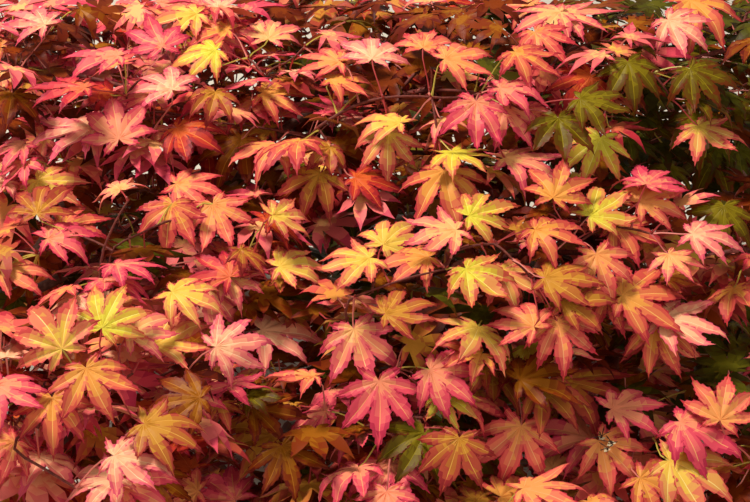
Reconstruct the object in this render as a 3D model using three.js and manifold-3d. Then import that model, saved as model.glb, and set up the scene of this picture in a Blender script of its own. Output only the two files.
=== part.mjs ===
// A branch cut from a Japanese maple in its autumn colours, lying on level ground.
// Millimetres, +Z up. The stem runs along X from its cut end. Boughs leave it on both sides, and each
// ends where it enters a spray: a mass of twigs and seven-lobed leaves that is one solid.
import * as THREE from "three";
import Module from "manifold-3d";

const wasm = await Module();
wasm.setup();

// Driving dimensions
const air = 0.3; // between neighbouring solids
const boughRoom = 0.4; // a bough's base stands this far off the middle of the facets that it leaves
const stem = {
  cut: new THREE.Vector3(-425, 84, 7.55),
  length: 505,
  rise: 88,
  sway: -86,
  cutRadius: 8,
  tipRadius: 3.2,
  sides: 10,
  steps: 12,
};
const bough = {
  baseShare: 0.75, // of the bearing limb's radius
  leastBase: 2.3,
  tipShare: 0.6, // of the bough's own base
  leastTip: 1.9,
  sides: 6,
  steps: 6,
  climb: 0.35,
  pull: 0.38, // how far its ends hold their direction
};
const mainTwig = { tipRadius: 1.6, sides: 4, steps: 4, startPull: 0.35, endPull: 0.3, arch: 0.1, reach: 0.5 };
const sideTwig = {
  pairs: 3,
  firstAt: 0.16,
  lastAt: 0.78,
  radius: 1.25,
  tipRadius: 1.15,
  sides: 3,
  turn: [43, 57],
  slopes: [0.34, -0.3],
  slopeStray: [-0.1, 0.1],
  longest: 0.8, // of the space's half width
  least: 26,
  depth: 0.5, // how far out of the middle its tip may reach
};
const leaf = {
  most: 12, // in a spray
  tries: 24, // ways that a leaf may be turned before its place stays empty
  length: 56, // from the petiole to the tip of the middle lobe
  size: [0.84, 1.16],
  thickness: 1.7,
  petiole: 24,
  petioleWidth: 0.9,
  pairTurn: 62,
  stray: [-18, 18],
  tipStray: [-40, 40],
  rise: [-0.36, 0.44], // slope of the petiole
  pitch: [-6, 36],
  roll: [-22, 22],
  droop: 0.28,
  cupping: 0.05,
  groundClearance: 0.6, // under the thick middle of a leaf
  lobes: [
    { turn: 0, reach: 1 },
    { turn: 37, reach: 0.93 },
    { turn: 75, reach: 0.72 },
    { turn: 121, reach: 0.42 },
  ],
  notches: [
    { turn: 19, reach: 0.34 },
    { turn: 57, reach: 0.28 },
    { turn: 98, reach: 0.18 },
  ],
  base: { turn: 165, reach: 0.05 },
};
const firstSeed = 11;
const leafPlaces = { atTip: 0.98, onSideTwig: 0.55, onMainTwig: [0.9, 0.64, 0.38, 0.12] };

// Each spray: the limb that bears it and where on it (share of its length), the point where the bough
// ends and the spray begins, the way that its twig heads (in plan, then upwards), the middle of its
// space, the half sizes of that space along, across and upwards, and its leaves' colour.
const sprays = [
  spray("crown_front", "stem", 0.58, [-13, 79, 204], [3, 4], [62, 78, 222], [165, 128, 64], "coral"),
  spray("crown_left", "crown_front", 0.74, [-66, 71, 189], [172, 10], [-175, 88, 214], [145, 118, 62], "rose"),
  spray("crown_right", "crown_front", 0.6, [105, 72, 186], [14, 24], [205, 108, 222], [130, 112, 62], "moss"),
  spray("crown_back", "stem", 0.66, [-50, 112, 175], [70, 12], [-25, 172, 214], [130, 120, 62], "amber"),
  spray("back_left", "stem", 0.36, [-205, 125, 150], [120, 14], [-225, 185, 178], [130, 115, 58], "rose"),
  spray("left_middle", "stem", 0.3, [-193, 11, 117], [14, 24], [-135, -8, 146], [155, 135, 70], "coral"),
  spray("left_far", "stem", 0.16, [-300, 30, 80], [195, 24], [-312, 22, 122], [128, 128, 64], "red"),
  spray("middle", "stem", 0.74, [-15, -32, 123], [11, 18], [58, -42, 150], [165, 145, 76], "amber"),
  spray("front_middle", "stem", 0.8, [-8, -52, 92], [-78, 6], [0, -112, 106], [122, 120, 58], "coral"),
  spray("right_shoulder", "stem", 1, [80, -2, 95], [-6, 24], [185, -18, 150], [140, 130, 66], "coral"),
  spray("low_right", "stem", 0.93, [108, -58, 76], [-35, 6], [200, -122, 92], [125, 112, 58], "rose"),
  spray("front_left", "stem", 0.52, [-150, -92, 120], [-105, 14], [-160, -152, 150], [130, 118, 58], "rose"),
  spray("back_right", "crown_back", 0.3, [130, 160, 118], [35, 14], [200, 190, 142], [130, 115, 58], "moss"),
  spray("far_right_low", "stem", 0.96, [160, 60, 44], [18, 0], [268, 88, 33], [125, 115, 56], "moss"),
  spray("low_back", "stem", 0.7, [10, 135, 46], [80, 0], [30, 200, 35], [130, 128, 58], "moss"),
  spray("low_back_left", "stem", 0.42, [-170, 135, 42], [105, 0], [-185, 200, 33], [125, 122, 58], "red"),
  spray("low_left", "stem", 0.22, [-285, -35, 38], [240, 0], [-300, -105, 38], [122, 118, 56], "red"),
  spray("low_front_left", "front_left", 0.4, [-112, -125, 42], [-85, -4], [-115, -196, 38], [125, 115, 56], "red"),
  spray("low_front_right", "stem", 0.88, [62, -128, 42], [-70, -4], [72, -198, 38], [125, 115, 56], "rose"),
];

const tints = {
  coral: "#dd6a52",
  rose: "#cf4d5c",
  amber: "#dd9a45",
  red: "#a33a2c",
  moss: "#8c8a34",
  bark: "#4d2822",
};
const roughness = { bark: 0.8, leaves: 0.55 };

function spray(name, bearer, from, entry, [heading, slope], centre, half, tint) {
  const turn = THREE.MathUtils.degToRad(heading);
  const ahead = new THREE.Vector3(Math.cos(turn), Math.sin(turn), 0);
  const beside = new THREE.Vector3(-ahead.y, ahead.x, 0);
  const entering = ahead.clone().setZ(Math.tan(THREE.MathUtils.degToRad(slope))).normalize();
  return {
    name,
    bearer,
    from,
    entry: new THREE.Vector3(...entry),
    entering,
    ahead,
    beside,
    centre: new THREE.Vector3(...centre),
    half,
    tint,
  };
}

// Seeded random numbers from the lower value to the higher one
function chance(seed) {
  let state = seed >>> 0;
  return ([low, high]) => {
    state = (state + 0x6d2b79f5) >>> 0;
    let mixed = Math.imul(state ^ (state >>> 15), state | 1);
    mixed ^= mixed + Math.imul(mixed ^ (mixed >>> 7), mixed | 61);
    return low + ((high - low) * ((mixed ^ (mixed >>> 14)) >>> 0)) / 4294967296;
  };
}

const up = new THREE.Vector3(0, 0, 1);
const radians = THREE.MathUtils.degToRad;

function solidFrom(points, faces) {
  return new wasm.Manifold(
    new wasm.Mesh({
      numProp: 3,
      vertProperties: new Float32Array(points.flatMap((p) => [p.x, p.y, p.z])),
      triVerts: new Uint32Array(faces.flat()),
    }),
  );
}

function geometryFrom(solid) {
  const mesh = solid.getMesh();
  const geometry = new THREE.BufferGeometry();
  geometry.setAttribute("position", new THREE.BufferAttribute(mesh.vertProperties, 3));
  geometry.setIndex(new THREE.BufferAttribute(mesh.triVerts, 1));
  geometry.computeVertexNormals();
  return geometry;
}

function largest(solid) {
  return solid.decompose().sort((a, b) => b.volume() - a.volume())[0];
}

// A round limb along a curve, tapering from one radius to the other, with flat ends
function limb(curve, startRadius, endRadius, sides, steps) {
  const frames = curve.computeFrenetFrames(steps, false);
  const points = [];
  const faces = [];
  for (let ring = 0; ring <= steps; ring++) {
    const share = ring / steps;
    const middle = curve.getPointAt(share);
    const radius = THREE.MathUtils.lerp(startRadius, endRadius, share);
    for (let side = 0; side < sides; side++) {
      const angle = (2 * Math.PI * side) / sides;
      points.push(
        middle
          .clone()
          .addScaledVector(frames.normals[ring], radius * Math.cos(angle))
          .addScaledVector(frames.binormals[ring], radius * Math.sin(angle)),
      );
      if (ring === steps) continue;
      const here = ring * sides + side;
      const next = ring * sides + ((side + 1) % sides);
      faces.push([here, next, next + sides], [here, next + sides, here + sides]);
    }
  }
  const last = steps * sides;
  for (let side = 1; side < sides - 1; side++) {
    faces.push([0, side + 1, side], [last, last + side, last + side + 1]);
  }
  return solidFrom(points, faces);
}

// The stem lies with its cut end on the ground and rises in an even arc to its tip
class StemLine extends THREE.Curve {
  getPoint(share, target = new THREE.Vector3()) {
    return target.set(
      stem.cut.x + stem.length * share,
      stem.cut.y + stem.sway * Math.sin(0.5 * Math.PI * share),
      stem.cut.z + stem.rise * Math.sin(0.5 * Math.PI * share),
    );
  }
}

// A bough climbs out of the limb that bears it, and comes into its spray along the spray's own twig
function boughLine(part, bearer) {
  const start = bearer.getPointAt(part.from);
  const distance = start.distanceTo(part.entry);
  const out = part.entry.clone().sub(start).normalize().addScaledVector(up, bough.climb).normalize();
  return new THREE.CubicBezierCurve3(
    start,
    start.clone().addScaledVector(out, distance * bough.pull),
    part.entry.clone().addScaledVector(part.entering, -distance * bough.pull),
    part.entry,
  );
}

// The spray's own twig goes on from the tip of its bough, or of the stem, and arches a little
function twigLine(part, from, along) {
  const start = from.clone().addScaledVector(along, air);
  const end = part.centre.clone().addScaledVector(part.ahead, part.half[0] * mainTwig.reach);
  const distance = start.distanceTo(end);
  const before = end.clone().addScaledVector(part.ahead, -distance * mainTwig.endPull);
  return new THREE.CubicBezierCurve3(
    start,
    start.clone().addScaledVector(along, distance * mainTwig.startPull),
    before.addScaledVector(up, distance * mainTwig.arch),
    end,
  );
}

// How far out of a spray's middle a point lies: under 1 is inside
function depthIn(part, point) {
  const offset = point.clone().sub(part.centre);
  const [along, across, upwards] = part.half;
  return Math.hypot(offset.dot(part.ahead) / along, offset.dot(part.beside) / across, offset.z / upwards);
}

// A point belongs to the spray whose middle is the nearest, if it is inside that spray at all
function keepsTo(part, point) {
  const depth = depthIn(part, point);
  return depth < 1 && sprays.every((other) => other === part || depthIn(other, point) > depth);
}

// A seven-lobed leaf on its petiole: node is where it leaves the twig, away the way that it goes
function leafPoints(node, away, size, pitch, roll) {
  const level = away.clone().setZ(0).normalize();
  const side = new THREE.Vector3(-level.y, level.x, 0);
  const ahead = level.clone().multiplyScalar(Math.cos(pitch)).addScaledVector(up, -Math.sin(pitch));
  const face = new THREE.Vector3().crossVectors(ahead, side);
  const across = side.clone().multiplyScalar(Math.cos(roll)).addScaledVector(face, Math.sin(roll));
  const normal = new THREE.Vector3().crossVectors(ahead, across);
  const joint = node.clone().addScaledVector(away, leaf.petiole * size);
  const length = leaf.length * size;
  const half = leaf.thickness / 2;
  const at = ({ turn, reach }, sign, rise) =>
    joint
      .clone()
      .addScaledVector(ahead, length * reach * Math.cos(radians(turn)))
      .addScaledVector(across, sign * length * reach * Math.sin(radians(turn)))
      .addScaledVector(normal, length * (rise - leaf.droop * reach * reach));
  const oneSide = (sign) => {
    const rim = [at(leaf.lobes[0], sign, 0)];
    for (let lobe = 1; lobe < leaf.lobes.length; lobe++) {
      rim.push(at(leaf.notches[lobe - 1], sign, leaf.cupping), at(leaf.lobes[lobe], sign, 0));
    }
    return [...rim, at(leaf.base, sign, 0)];
  };
  const rim = [...oneSide(1).reverse(), ...oneSide(-1).slice(1)];
  const width = leaf.petioleWidth / 2;
  return restOnGround([
    joint.clone().addScaledVector(normal, half),
    joint.clone().addScaledVector(normal, -half),
    ...rim,
    node.clone().addScaledVector(up, width),
    node.clone().addScaledVector(side, width),
    node.clone().addScaledVector(up, -width),
    node.clone().addScaledVector(side, -width),
  ]);
}

// A lobe that meets the ground bends and lies on it, under a middle that stays just clear
function restOnGround([top, under, ...others]) {
  top.z = Math.max(top.z, leaf.groundClearance + leaf.thickness);
  under.z = Math.max(under.z, leaf.groundClearance);
  for (const point of others) point.z = Math.max(point.z, 0);
  return [top, under, ...others];
}

function leafSolid(points) {
  const top = 0;
  const under = 1;
  const first = 2;
  const end = points.length - 4;
  const last = end - 1;
  const faces = [];
  for (let rim = first; rim < last; rim++) faces.push([top, rim + 1, rim], [under, rim, rim + 1]);
  const ring = [top, first, under, last];
  ring.forEach((corner, side) => {
    const next = (side + 1) % 4;
    faces.push([corner, ring[next], end + next], [corner, end + next, end + side]);
  });
  faces.push([end, end + 1, end + 2], [end, end + 2, end + 3]);
  return solidFrom(points, faces);
}

function boxesMeet(a, b) {
  return [0, 1, 2].every((axis) => a.min[axis] < b.max[axis] + 1 && b.min[axis] < a.max[axis] + 1);
}

function clearOf(solid, others) {
  const box = solid.boundingBox();
  return others.every((other) => !boxesMeet(box, other.boundingBox()) || solid.minGap(other, 1) > air);
}

// Side twigs leave the spray's own twig in opposite pairs, higher and lower by turns
function sideTwigLines(part, curve, random) {
  const lines = [];
  for (let pair = 0; pair < sideTwig.pairs; pair++) {
    const share = THREE.MathUtils.lerp(sideTwig.firstAt, sideTwig.lastAt, pair / (sideTwig.pairs - 1));
    for (const sign of [1, -1]) {
      const start = curve.getPointAt(share);
      const turn = sign * random(sideTwig.turn);
      const away = curve.getTangentAt(share).setZ(0).normalize().applyAxisAngle(up, radians(turn));
      away.addScaledVector(up, sideTwig.slopes[pair % 2] + random(sideTwig.slopeStray)).normalize();
      let reach = part.half[1] * sideTwig.longest;
      const tip = () => start.clone().addScaledVector(away, reach);
      while (reach > sideTwig.least && depthIn(part, tip()) > sideTwig.depth) reach -= 4;
      lines.push(new THREE.LineCurve3(start, tip()));
    }
  }
  return lines;
}

// Leaves leave a twig in opposite pairs, and one goes on from its tip
function pairAt(line, share) {
  return [leaf.pairTurn, -leaf.pairTurn].map((turn) => ({ line, share, turn, stray: leaf.stray }));
}

function leafAt(site, random) {
  const turn = radians(site.turn + random(site.stray));
  const away = site.line.getTangentAt(site.share).setZ(0).normalize().applyAxisAngle(up, turn);
  away.addScaledVector(up, random(leaf.rise)).normalize();
  const [size, pitch, roll] = [leaf.size, leaf.pitch, leaf.roll].map(random);
  return leafPoints(site.line.getPointAt(site.share), away, size, radians(pitch), radians(roll));
}

function growSpray(part, curve, twig, obstacles, random) {
  const twigs = [{ line: curve, solid: twig }];
  const blades = [];
  const sites = [{ line: curve, share: leafPlaces.atTip, turn: 0, stray: leaf.stray }];
  const laterSites = leafPlaces.onMainTwig.flatMap((share) => pairAt(curve, share));
  for (const line of sideTwigLines(part, curve, random)) {
    const solid = limb(line, sideTwig.radius, sideTwig.tipRadius, sideTwig.sides, 1);
    if (!clearOf(solid, obstacles)) continue;
    twigs.push({ line, solid });
    sites.push({ line, share: leafPlaces.atTip, turn: 0, stray: leaf.tipStray });
    laterSites.unshift(...pairAt(line, leafPlaces.onSideTwig));
  }
  for (const site of [...sites, ...laterSites]) {
    const others = twigs.filter(({ line }) => line !== site.line).map(({ solid }) => solid);
    for (let attempt = 0; attempt < leaf.tries && blades.length < leaf.most; attempt++) {
      const points = leafAt(site, random);
      if (!points.slice(2, -4).every((point) => keepsTo(part, point))) continue;
      const blade = leafSolid(points);
      if (![others, obstacles, blades].every((solids) => clearOf(blade, solids))) continue;
      blades.push(blade);
      break;
    }
  }
  return largest(wasm.Manifold.union([...twigs.map(({ solid }) => solid), ...blades]));
}

const materials = Object.fromEntries(
  Object.entries(tints).map(([name, color]) => [
    name,
    new THREE.MeshStandardMaterial({ color, roughness: roughness[name] ?? roughness.leaves, metalness: 0 }),
  ]),
);

function meshOf(name, solid, material) {
  const mesh = new THREE.Mesh(geometryFrom(solid), material);
  mesh.name = name;
  return mesh;
}

const branch = new THREE.Group();
branch.name = "cut_branch";

// The limbs come first, and with them each spray's own twig, because the leaves keep clear of them all
const stemLine = new StemLine();
const stemShape = [stem.cutRadius, stem.tipRadius, stem.sides, stem.steps];
const limbs = { stem: { line: stemLine, shape: stemShape, solid: limb(stemLine, ...stemShape) } };
branch.add(meshOf("main_stem", limbs.stem.solid, materials.bark));

const cores = sprays.map((part) => {
  const bearer = limbs[part.bearer];
  let ending = bearer;
  if (part.from < 1) {
    const [bearerBase, bearerTip, ...facets] = bearer.shape;
    const local = THREE.MathUtils.lerp(bearerBase, bearerTip, part.from);
    const base = Math.max(local * bough.baseShare, bough.leastBase);
    const tip = Math.max(base * bough.tipShare, bough.leastTip);
    const line = boughLine(part, bearer.line);
    const shape = [base, tip, bough.sides, bough.steps];
    const room = limb(bearer.line, bearerBase + boughRoom, bearerTip + boughRoom, ...facets);
    ending = { line, shape, solid: largest(limb(line, ...shape).subtract(room)) };
    limbs[part.name] = ending;
    branch.add(meshOf(`bough_${part.name}`, ending.solid, materials.bark));
  }
  const curve = twigLine(part, ending.line.getPointAt(1), ending.line.getTangentAt(1));
  const twig = limb(curve, ending.shape[1], mainTwig.tipRadius, mainTwig.sides, mainTwig.steps);
  return { part, curve, twig };
});

const limbSolids = Object.values(limbs).map(({ solid }) => solid);
const grown = [];
cores.forEach(({ part, curve, twig }, index) => {
  const otherTwigs = cores.slice(index + 1).map((core) => core.twig);
  const obstacles = [...limbSolids, ...otherTwigs, ...grown];
  const solid = growSpray(part, curve, twig, obstacles, chance(firstSeed + index));
  grown.push(solid);
  branch.add(meshOf(`spray_${part.name}`, solid, materials[part.tint]));
});

// The origin is on the ground under the middle of the branch
const bounds = new THREE.Box3().setFromObject(branch);
const middle = bounds.getCenter(new THREE.Vector3());
branch.position.set(-middle.x, -middle.y, -bounds.min.z);

export default branch;
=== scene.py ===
import math
import random

import bpy
import numpy as np
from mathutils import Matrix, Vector, noise
from mathutils.bvhtree import BVHTree
from mathutils.kdtree import KDTree


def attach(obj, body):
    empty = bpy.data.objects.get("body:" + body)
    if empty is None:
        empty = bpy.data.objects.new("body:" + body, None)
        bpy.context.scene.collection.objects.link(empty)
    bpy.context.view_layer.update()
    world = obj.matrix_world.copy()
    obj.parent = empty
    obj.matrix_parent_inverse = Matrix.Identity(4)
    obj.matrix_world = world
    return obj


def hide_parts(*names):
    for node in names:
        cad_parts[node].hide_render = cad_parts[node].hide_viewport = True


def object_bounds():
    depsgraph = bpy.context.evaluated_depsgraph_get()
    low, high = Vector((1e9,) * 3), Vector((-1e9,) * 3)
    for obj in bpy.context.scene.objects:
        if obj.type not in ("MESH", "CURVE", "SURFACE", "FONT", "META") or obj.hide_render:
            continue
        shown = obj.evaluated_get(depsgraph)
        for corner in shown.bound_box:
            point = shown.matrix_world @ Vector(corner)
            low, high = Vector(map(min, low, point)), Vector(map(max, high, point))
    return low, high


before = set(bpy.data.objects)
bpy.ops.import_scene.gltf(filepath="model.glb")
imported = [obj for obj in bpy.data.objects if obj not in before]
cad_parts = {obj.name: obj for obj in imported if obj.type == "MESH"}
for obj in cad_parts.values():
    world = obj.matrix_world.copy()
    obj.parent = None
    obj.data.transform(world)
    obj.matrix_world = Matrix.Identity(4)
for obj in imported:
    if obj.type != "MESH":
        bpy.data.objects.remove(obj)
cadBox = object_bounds()
print("frame loaded")

# A cut branch of a Japanese maple. Lengths are in millimetres in the layout of the limbs, and toScene
# turns them into metres in the frame's place.
layoutShift = np.array([25.5306, -6.1084, 0.0])
up = np.array([0.0, 0.0, 1.0])
hair = 1e-6  # takes up the rounding where two measures are meant to be the same
seeds = {"twigs": 400, "pictureLeaves": 900, "leaves": 1200, "fill": 77, "stalks": 2200, "flowers": 31}


def toScene(points):
    return (np.asarray(points, float) + layoutShift) * 0.001


def unit(vector):
    return vector / np.linalg.norm(vector)


def turned(vector, degrees):
    angle = math.radians(degrees)
    x, y, z = vector
    return np.array([x * math.cos(angle) - y * math.sin(angle), x * math.sin(angle) + y * math.cos(angle), z])


def blend(low, high, share):
    return low + (high - low) * share


# The camera looks along +Y and down onto the lying branch
cameraSet = {
    "target": np.array([0.0, 0.0, 140.0]),  # in the layout, in the middle of the picture
    "tilt": 28,  # degrees below level
    "distance": 1300,
    "pixelsPerMillimetre": 1.63,  # at the target
    "picture": (750, 502),
    "sensor": 36,
    "clip": (0.01, 50),
}
tiltAngle = math.radians(cameraSet["tilt"])
lookAlong = np.array([0.0, math.cos(tiltAngle), -math.sin(tiltAngle)])
pictureUp = np.array([0.0, math.sin(tiltAngle), math.cos(tiltAngle)])
pictureRight = np.array([1.0, 0.0, 0.0])
pictureMiddle = (cameraSet["picture"][0] / 2, cameraSet["picture"][1] / 2)


def millimetresPerPixel(depth):
    return (1 + depth / cameraSet["distance"]) / cameraSet["pixelsPerMillimetre"]


def toPicture(points):
    offset = np.atleast_2d(points) - cameraSet["target"]
    depth = offset @ lookAlong
    scale = cameraSet["pixelsPerMillimetre"] * cameraSet["distance"] / (cameraSet["distance"] + depth)
    across = pictureMiddle[0] + offset @ pictureRight * scale
    down = pictureMiddle[1] - offset @ pictureUp * scale
    return np.stack([across, down, depth], axis=1)


def fromPicture(u, v, depth):
    scale = millimetresPerPixel(depth)
    across = (u - pictureMiddle[0]) * scale
    rise = (pictureMiddle[1] - v) * scale
    return cameraSet["target"] + across * pictureRight + rise * pictureUp + depth * lookAlong


def makeCamera():
    data = bpy.data.cameras.new("camera")
    data.sensor_width = cameraSet["sensor"]
    pixels = cameraSet["pixelsPerMillimetre"] * cameraSet["distance"]
    data.lens = pixels * cameraSet["sensor"] / cameraSet["picture"][0]
    data.clip_start, data.clip_end = cameraSet["clip"]
    camera = bpy.data.objects.new("camera", data)
    camera.location = toScene(cameraSet["target"] - lookAlong * cameraSet["distance"])
    camera.rotation_euler = (math.radians(90 - cameraSet["tilt"]), 0, 0)
    bpy.context.scene.collection.objects.link(camera)
    bpy.context.scene.camera = camera


makeCamera()


headingSpan = 0.012  # a line's heading is taken from this share of it before to this share after


# Limbs: lines that are walked by the share of their length
class Line:
    def __init__(self, points):
        self.points = np.array(points, float)
        steps = np.linalg.norm(np.diff(self.points, axis=0), axis=1)
        self.along = np.concatenate([[0.0], np.cumsum(steps)])
        self.length = self.along[-1]

    def at(self, share):
        walked = np.clip(share, 0, 1) * self.length
        return np.stack([np.interp(walked, self.along, self.points[:, axis]) for axis in range(3)], axis=-1)

    def heading(self, share):
        return unit(self.at(min(share + headingSpan, 1)) - self.at(max(share - headingSpan, 0)))

    # The heading in plan
    def level(self, share):
        return unit(self.heading(share) * (1, 1, 0))


def bezier(start, first, second, end, steps=48):
    s = np.linspace(0, 1, steps + 1)[:, None]
    r = 1 - s
    return Line(r**3 * start + 3 * r**2 * s * first + 3 * r * s**2 * second + s**3 * end)


stem = {
    "cut": (-425.0, 84.0, 7.55),
    "length": 505,
    "rise": 88,
    "sway": -86,
    "radii": (8.0, 3.2),
    "steps": 200,
}
bough = {
    "baseShare": 0.75,  # of the bearing limb's radius
    "leastBase": 2.3,
    "tipShare": 0.6,
    "leastTip": 1.9,
    "climb": 0.35,
    "pull": 0.38,
}
mainTwig = {"tipRadius": 1.6, "startPull": 0.35, "endPull": 0.3, "arch": 0.1, "reach": 0.5, "air": 0.3}
sideTwig = {
    "pairs": 3,
    "firstAt": 0.16,
    "lastAt": 0.78,
    "radii": (1.25, 1.0),
    "turn": (43, 57),
    "slopes": (0.34, -0.3),
    "slopeStray": (-0.1, 0.1),
    "longest": 0.8,  # of the space's half width
    "least": 26,
    "shorter": 4,  # taken off at a time
    "depth": 0.5,
    "bow": (0.02, 0.06),
    "pulls": (0.35, 0.7),
    "steps": 16,
}
twiglet = {
    "shares": (0.45, 0.75),
    "length": (18, 28),
    "turn": (40, 62),
    "slope": (-0.25, 0.45),
    "radii": (0.85, 0.65),
    "bend": (-1, 2),
    "depth": 0.8,
    "ground": 4,
    "steps": 8,
}
reaching = {  # a twiglet that is grown towards a leaf
    "longestStalk": 36,
    "newStalk": 24,
    "dip": -2,
    "arch": 0.06,
    "pull": 0.6,
    "steps": 10,
}
firstSeed = 11

# Each spray: bearer, share of its length, where the bough ends, heading and slope there, the middle of
# its space, the half sizes of that space, and its colour group
sprayRows = [
    ("crown_front", "stem", 0.58, (-13, 79, 204), (3, 4), (62, 78, 222), (165, 128, 64), "coral"),
    ("crown_left", "crown_front", 0.74, (-66, 71, 189), (172, 10), (-175, 88, 214), (145, 118, 62), "rose"),
    ("crown_right", "crown_front", 0.6, (105, 72, 186), (14, 24), (205, 108, 222), (130, 112, 62), "moss"),
    ("crown_back", "stem", 0.66, (-50, 112, 175), (70, 12), (-25, 172, 214), (130, 120, 62), "amber"),
    ("back_left", "stem", 0.36, (-205, 125, 150), (120, 14), (-225, 185, 178), (130, 115, 58), "rose"),
    ("left_middle", "stem", 0.3, (-193, 11, 117), (14, 24), (-135, -8, 146), (155, 135, 70), "coral"),
    ("left_far", "stem", 0.16, (-300, 30, 80), (195, 24), (-312, 22, 122), (128, 128, 64), "red"),
    ("middle", "stem", 0.74, (-15, -32, 123), (11, 18), (58, -42, 150), (165, 145, 76), "amber"),
    ("front_middle", "stem", 0.8, (-8, -52, 92), (-78, 6), (0, -112, 106), (122, 120, 58), "russet"),
    ("right_shoulder", "stem", 1, (80, -2, 95), (-6, 24), (185, -18, 150), (140, 130, 66), "coral"),
    ("low_right", "stem", 0.93, (108, -58, 76), (-35, 6), (200, -122, 92), (125, 112, 58), "russet"),
    ("front_left", "stem", 0.52, (-150, -92, 120), (-105, 14), (-160, -152, 150), (130, 118, 58), "rose"),
    ("back_right", "crown_back", 0.3, (130, 160, 118), (35, 14), (200, 190, 142), (130, 115, 58), "moss"),
    ("far_right_low", "stem", 0.96, (160, 60, 44), (18, 0), (268, 88, 33), (125, 115, 56), "moss"),
    ("low_back", "stem", 0.7, (10, 135, 46), (80, 0), (30, 200, 35), (130, 128, 58), "moss"),
    ("low_back_left", "stem", 0.42, (-170, 135, 42), (105, 0), (-185, 200, 33), (125, 122, 58), "red"),
    ("low_left", "stem", 0.22, (-285, -35, 38), (240, 0), (-300, -105, 38), (122, 118, 56), "red"),
    ("low_front_left", "front_left", 0.4, (-112, -125, 42), (-85, -4), (-115, -196, 38), (125, 115, 56), "red"),
    ("low_front_right", "stem", 0.88, (62, -128, 42), (-70, -4), (72, -198, 38), (125, 115, 56), "russet"),
]


class Spray:
    def __init__(self, row, index):
        self.name, self.bearer, self.share, entry, (heading, slope), centre, half, self.group = row
        self.index = index
        self.entry = np.array(entry, float)
        self.centre = np.array(centre, float)
        self.half = np.array(half, float)
        self.ahead = turned(np.array([1.0, 0.0, 0.0]), heading)
        self.beside = np.array([-self.ahead[1], self.ahead[0], 0.0])
        self.entering = unit(self.ahead + up * math.tan(math.radians(slope)))
        self.twigs = []  # (line, radius at its start, radius at its end)
        self.leaves = []

    def depth(self, points):
        offset = np.atleast_2d(points) - self.centre
        return np.sqrt(
            (offset @ self.ahead / self.half[0]) ** 2
            + (offset @ self.beside / self.half[1]) ** 2
            + (offset[:, 2] / self.half[2]) ** 2
        )


sprays = [Spray(row, index) for index, row in enumerate(sprayRows)]
sprayNamed = {spray.name: spray for spray in sprays}
spaceCentres = np.array([spray.centre for spray in sprays])
spaceAxes = np.array(
    [[spray.ahead / spray.half[0], spray.beside / spray.half[1], up / spray.half[2]] for spray in sprays]
)


# How far out each point lies in each spray's space
def spaceDepths(points):
    offset = np.atleast_2d(points)[:, None, :] - spaceCentres
    return np.sqrt((np.einsum("psk,sak->psa", offset, spaceAxes) ** 2).sum(axis=2))


def nearestSpray(point):
    depths = spaceDepths(point)[0]
    return sprays[int(np.argmin(depths))], depths.min()


# The same row of numbers that the source draws from
class SourceChance:
    def __init__(self, seed):
        self.state = seed

    def __call__(self, span):
        whole = 0xFFFFFFFF
        self.state = (self.state + 0x6D2B79F5) & whole
        mixed = ((self.state ^ (self.state >> 15)) * (self.state | 1)) & whole
        mixed ^= (mixed + (((mixed ^ (mixed >> 7)) * (mixed | 61)) & whole)) & whole
        return span[0] + (span[1] - span[0]) * ((mixed ^ (mixed >> 14)) & whole) / (whole + 1)


def stemLine():
    s = np.linspace(0, 1, stem["steps"])
    arc = np.sin(0.5 * math.pi * s)
    x, y, z = stem["cut"]
    return Line(np.stack([x + stem["length"] * s, y + stem["sway"] * arc, z + stem["rise"] * arc], axis=1))


def boughLine(spray, bearer):
    start = bearer.at(spray.share)
    distance = np.linalg.norm(spray.entry - start)
    out = unit(unit(spray.entry - start) + up * bough["climb"])
    pull = distance * bough["pull"]
    return bezier(start, start + out * pull, spray.entry - spray.entering * pull, spray.entry)


def mainTwigLine(spray, start, along):
    start = start + along * mainTwig["air"]
    end = spray.centre + spray.ahead * spray.half[0] * mainTwig["reach"]
    distance = np.linalg.norm(end - start)
    before = end - spray.ahead * distance * mainTwig["endPull"] + up * distance * mainTwig["arch"]
    return bezier(start, start + along * distance * mainTwig["startPull"], before, end)


def growLimbs():
    limbs = {"stem": (stemLine(), *stem["radii"])}
    for spray in sprays:
        bearer, bearerBase, bearerTip = limbs[spray.bearer]
        line, tip = bearer, bearerTip
        if spray.share < 1:
            base = max(blend(bearerBase, bearerTip, spray.share) * bough["baseShare"], bough["leastBase"])
            tip = max(base * bough["tipShare"], bough["leastTip"])
            line = boughLine(spray, bearer)
            limbs[spray.name] = (line, base, tip)
        spray.mainLine = mainTwigLine(spray, line.at(1), line.heading(1))
        spray.twigs.append((spray.mainLine, tip, mainTwig["tipRadius"]))
    return limbs


limbs = growLimbs()


# Side twigs leave the main twig in opposite pairs, higher and lower by turns, and bear twiglets
def growTwigs(spray, rng):
    drawn = SourceChance(firstSeed + spray.index)
    for pair in range(sideTwig["pairs"]):
        share = blend(sideTwig["firstAt"], sideTwig["lastAt"], pair / (sideTwig["pairs"] - 1))
        for sign in (1, -1):
            start = spray.mainLine.at(share)
            turn = sign * drawn(sideTwig["turn"])
            slope = sideTwig["slopes"][pair % 2] + drawn(sideTwig["slopeStray"])
            away = unit(turned(spray.mainLine.level(share), turn) + up * slope)
            reach = spray.half[1] * sideTwig["longest"]
            while reach > sideTwig["least"] and spray.depth(start + away * reach)[0] > sideTwig["depth"]:
                reach -= sideTwig["shorter"]
            bow = up * reach * rng.uniform(*sideTwig["bow"])
            first, second = (start + away * reach * pull + bow for pull in sideTwig["pulls"])
            line = bezier(start, first, second, start + away * reach, sideTwig["steps"])
            spray.twigs.append((line, *sideTwig["radii"]))
            growTwiglets(spray, line, rng)


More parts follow.
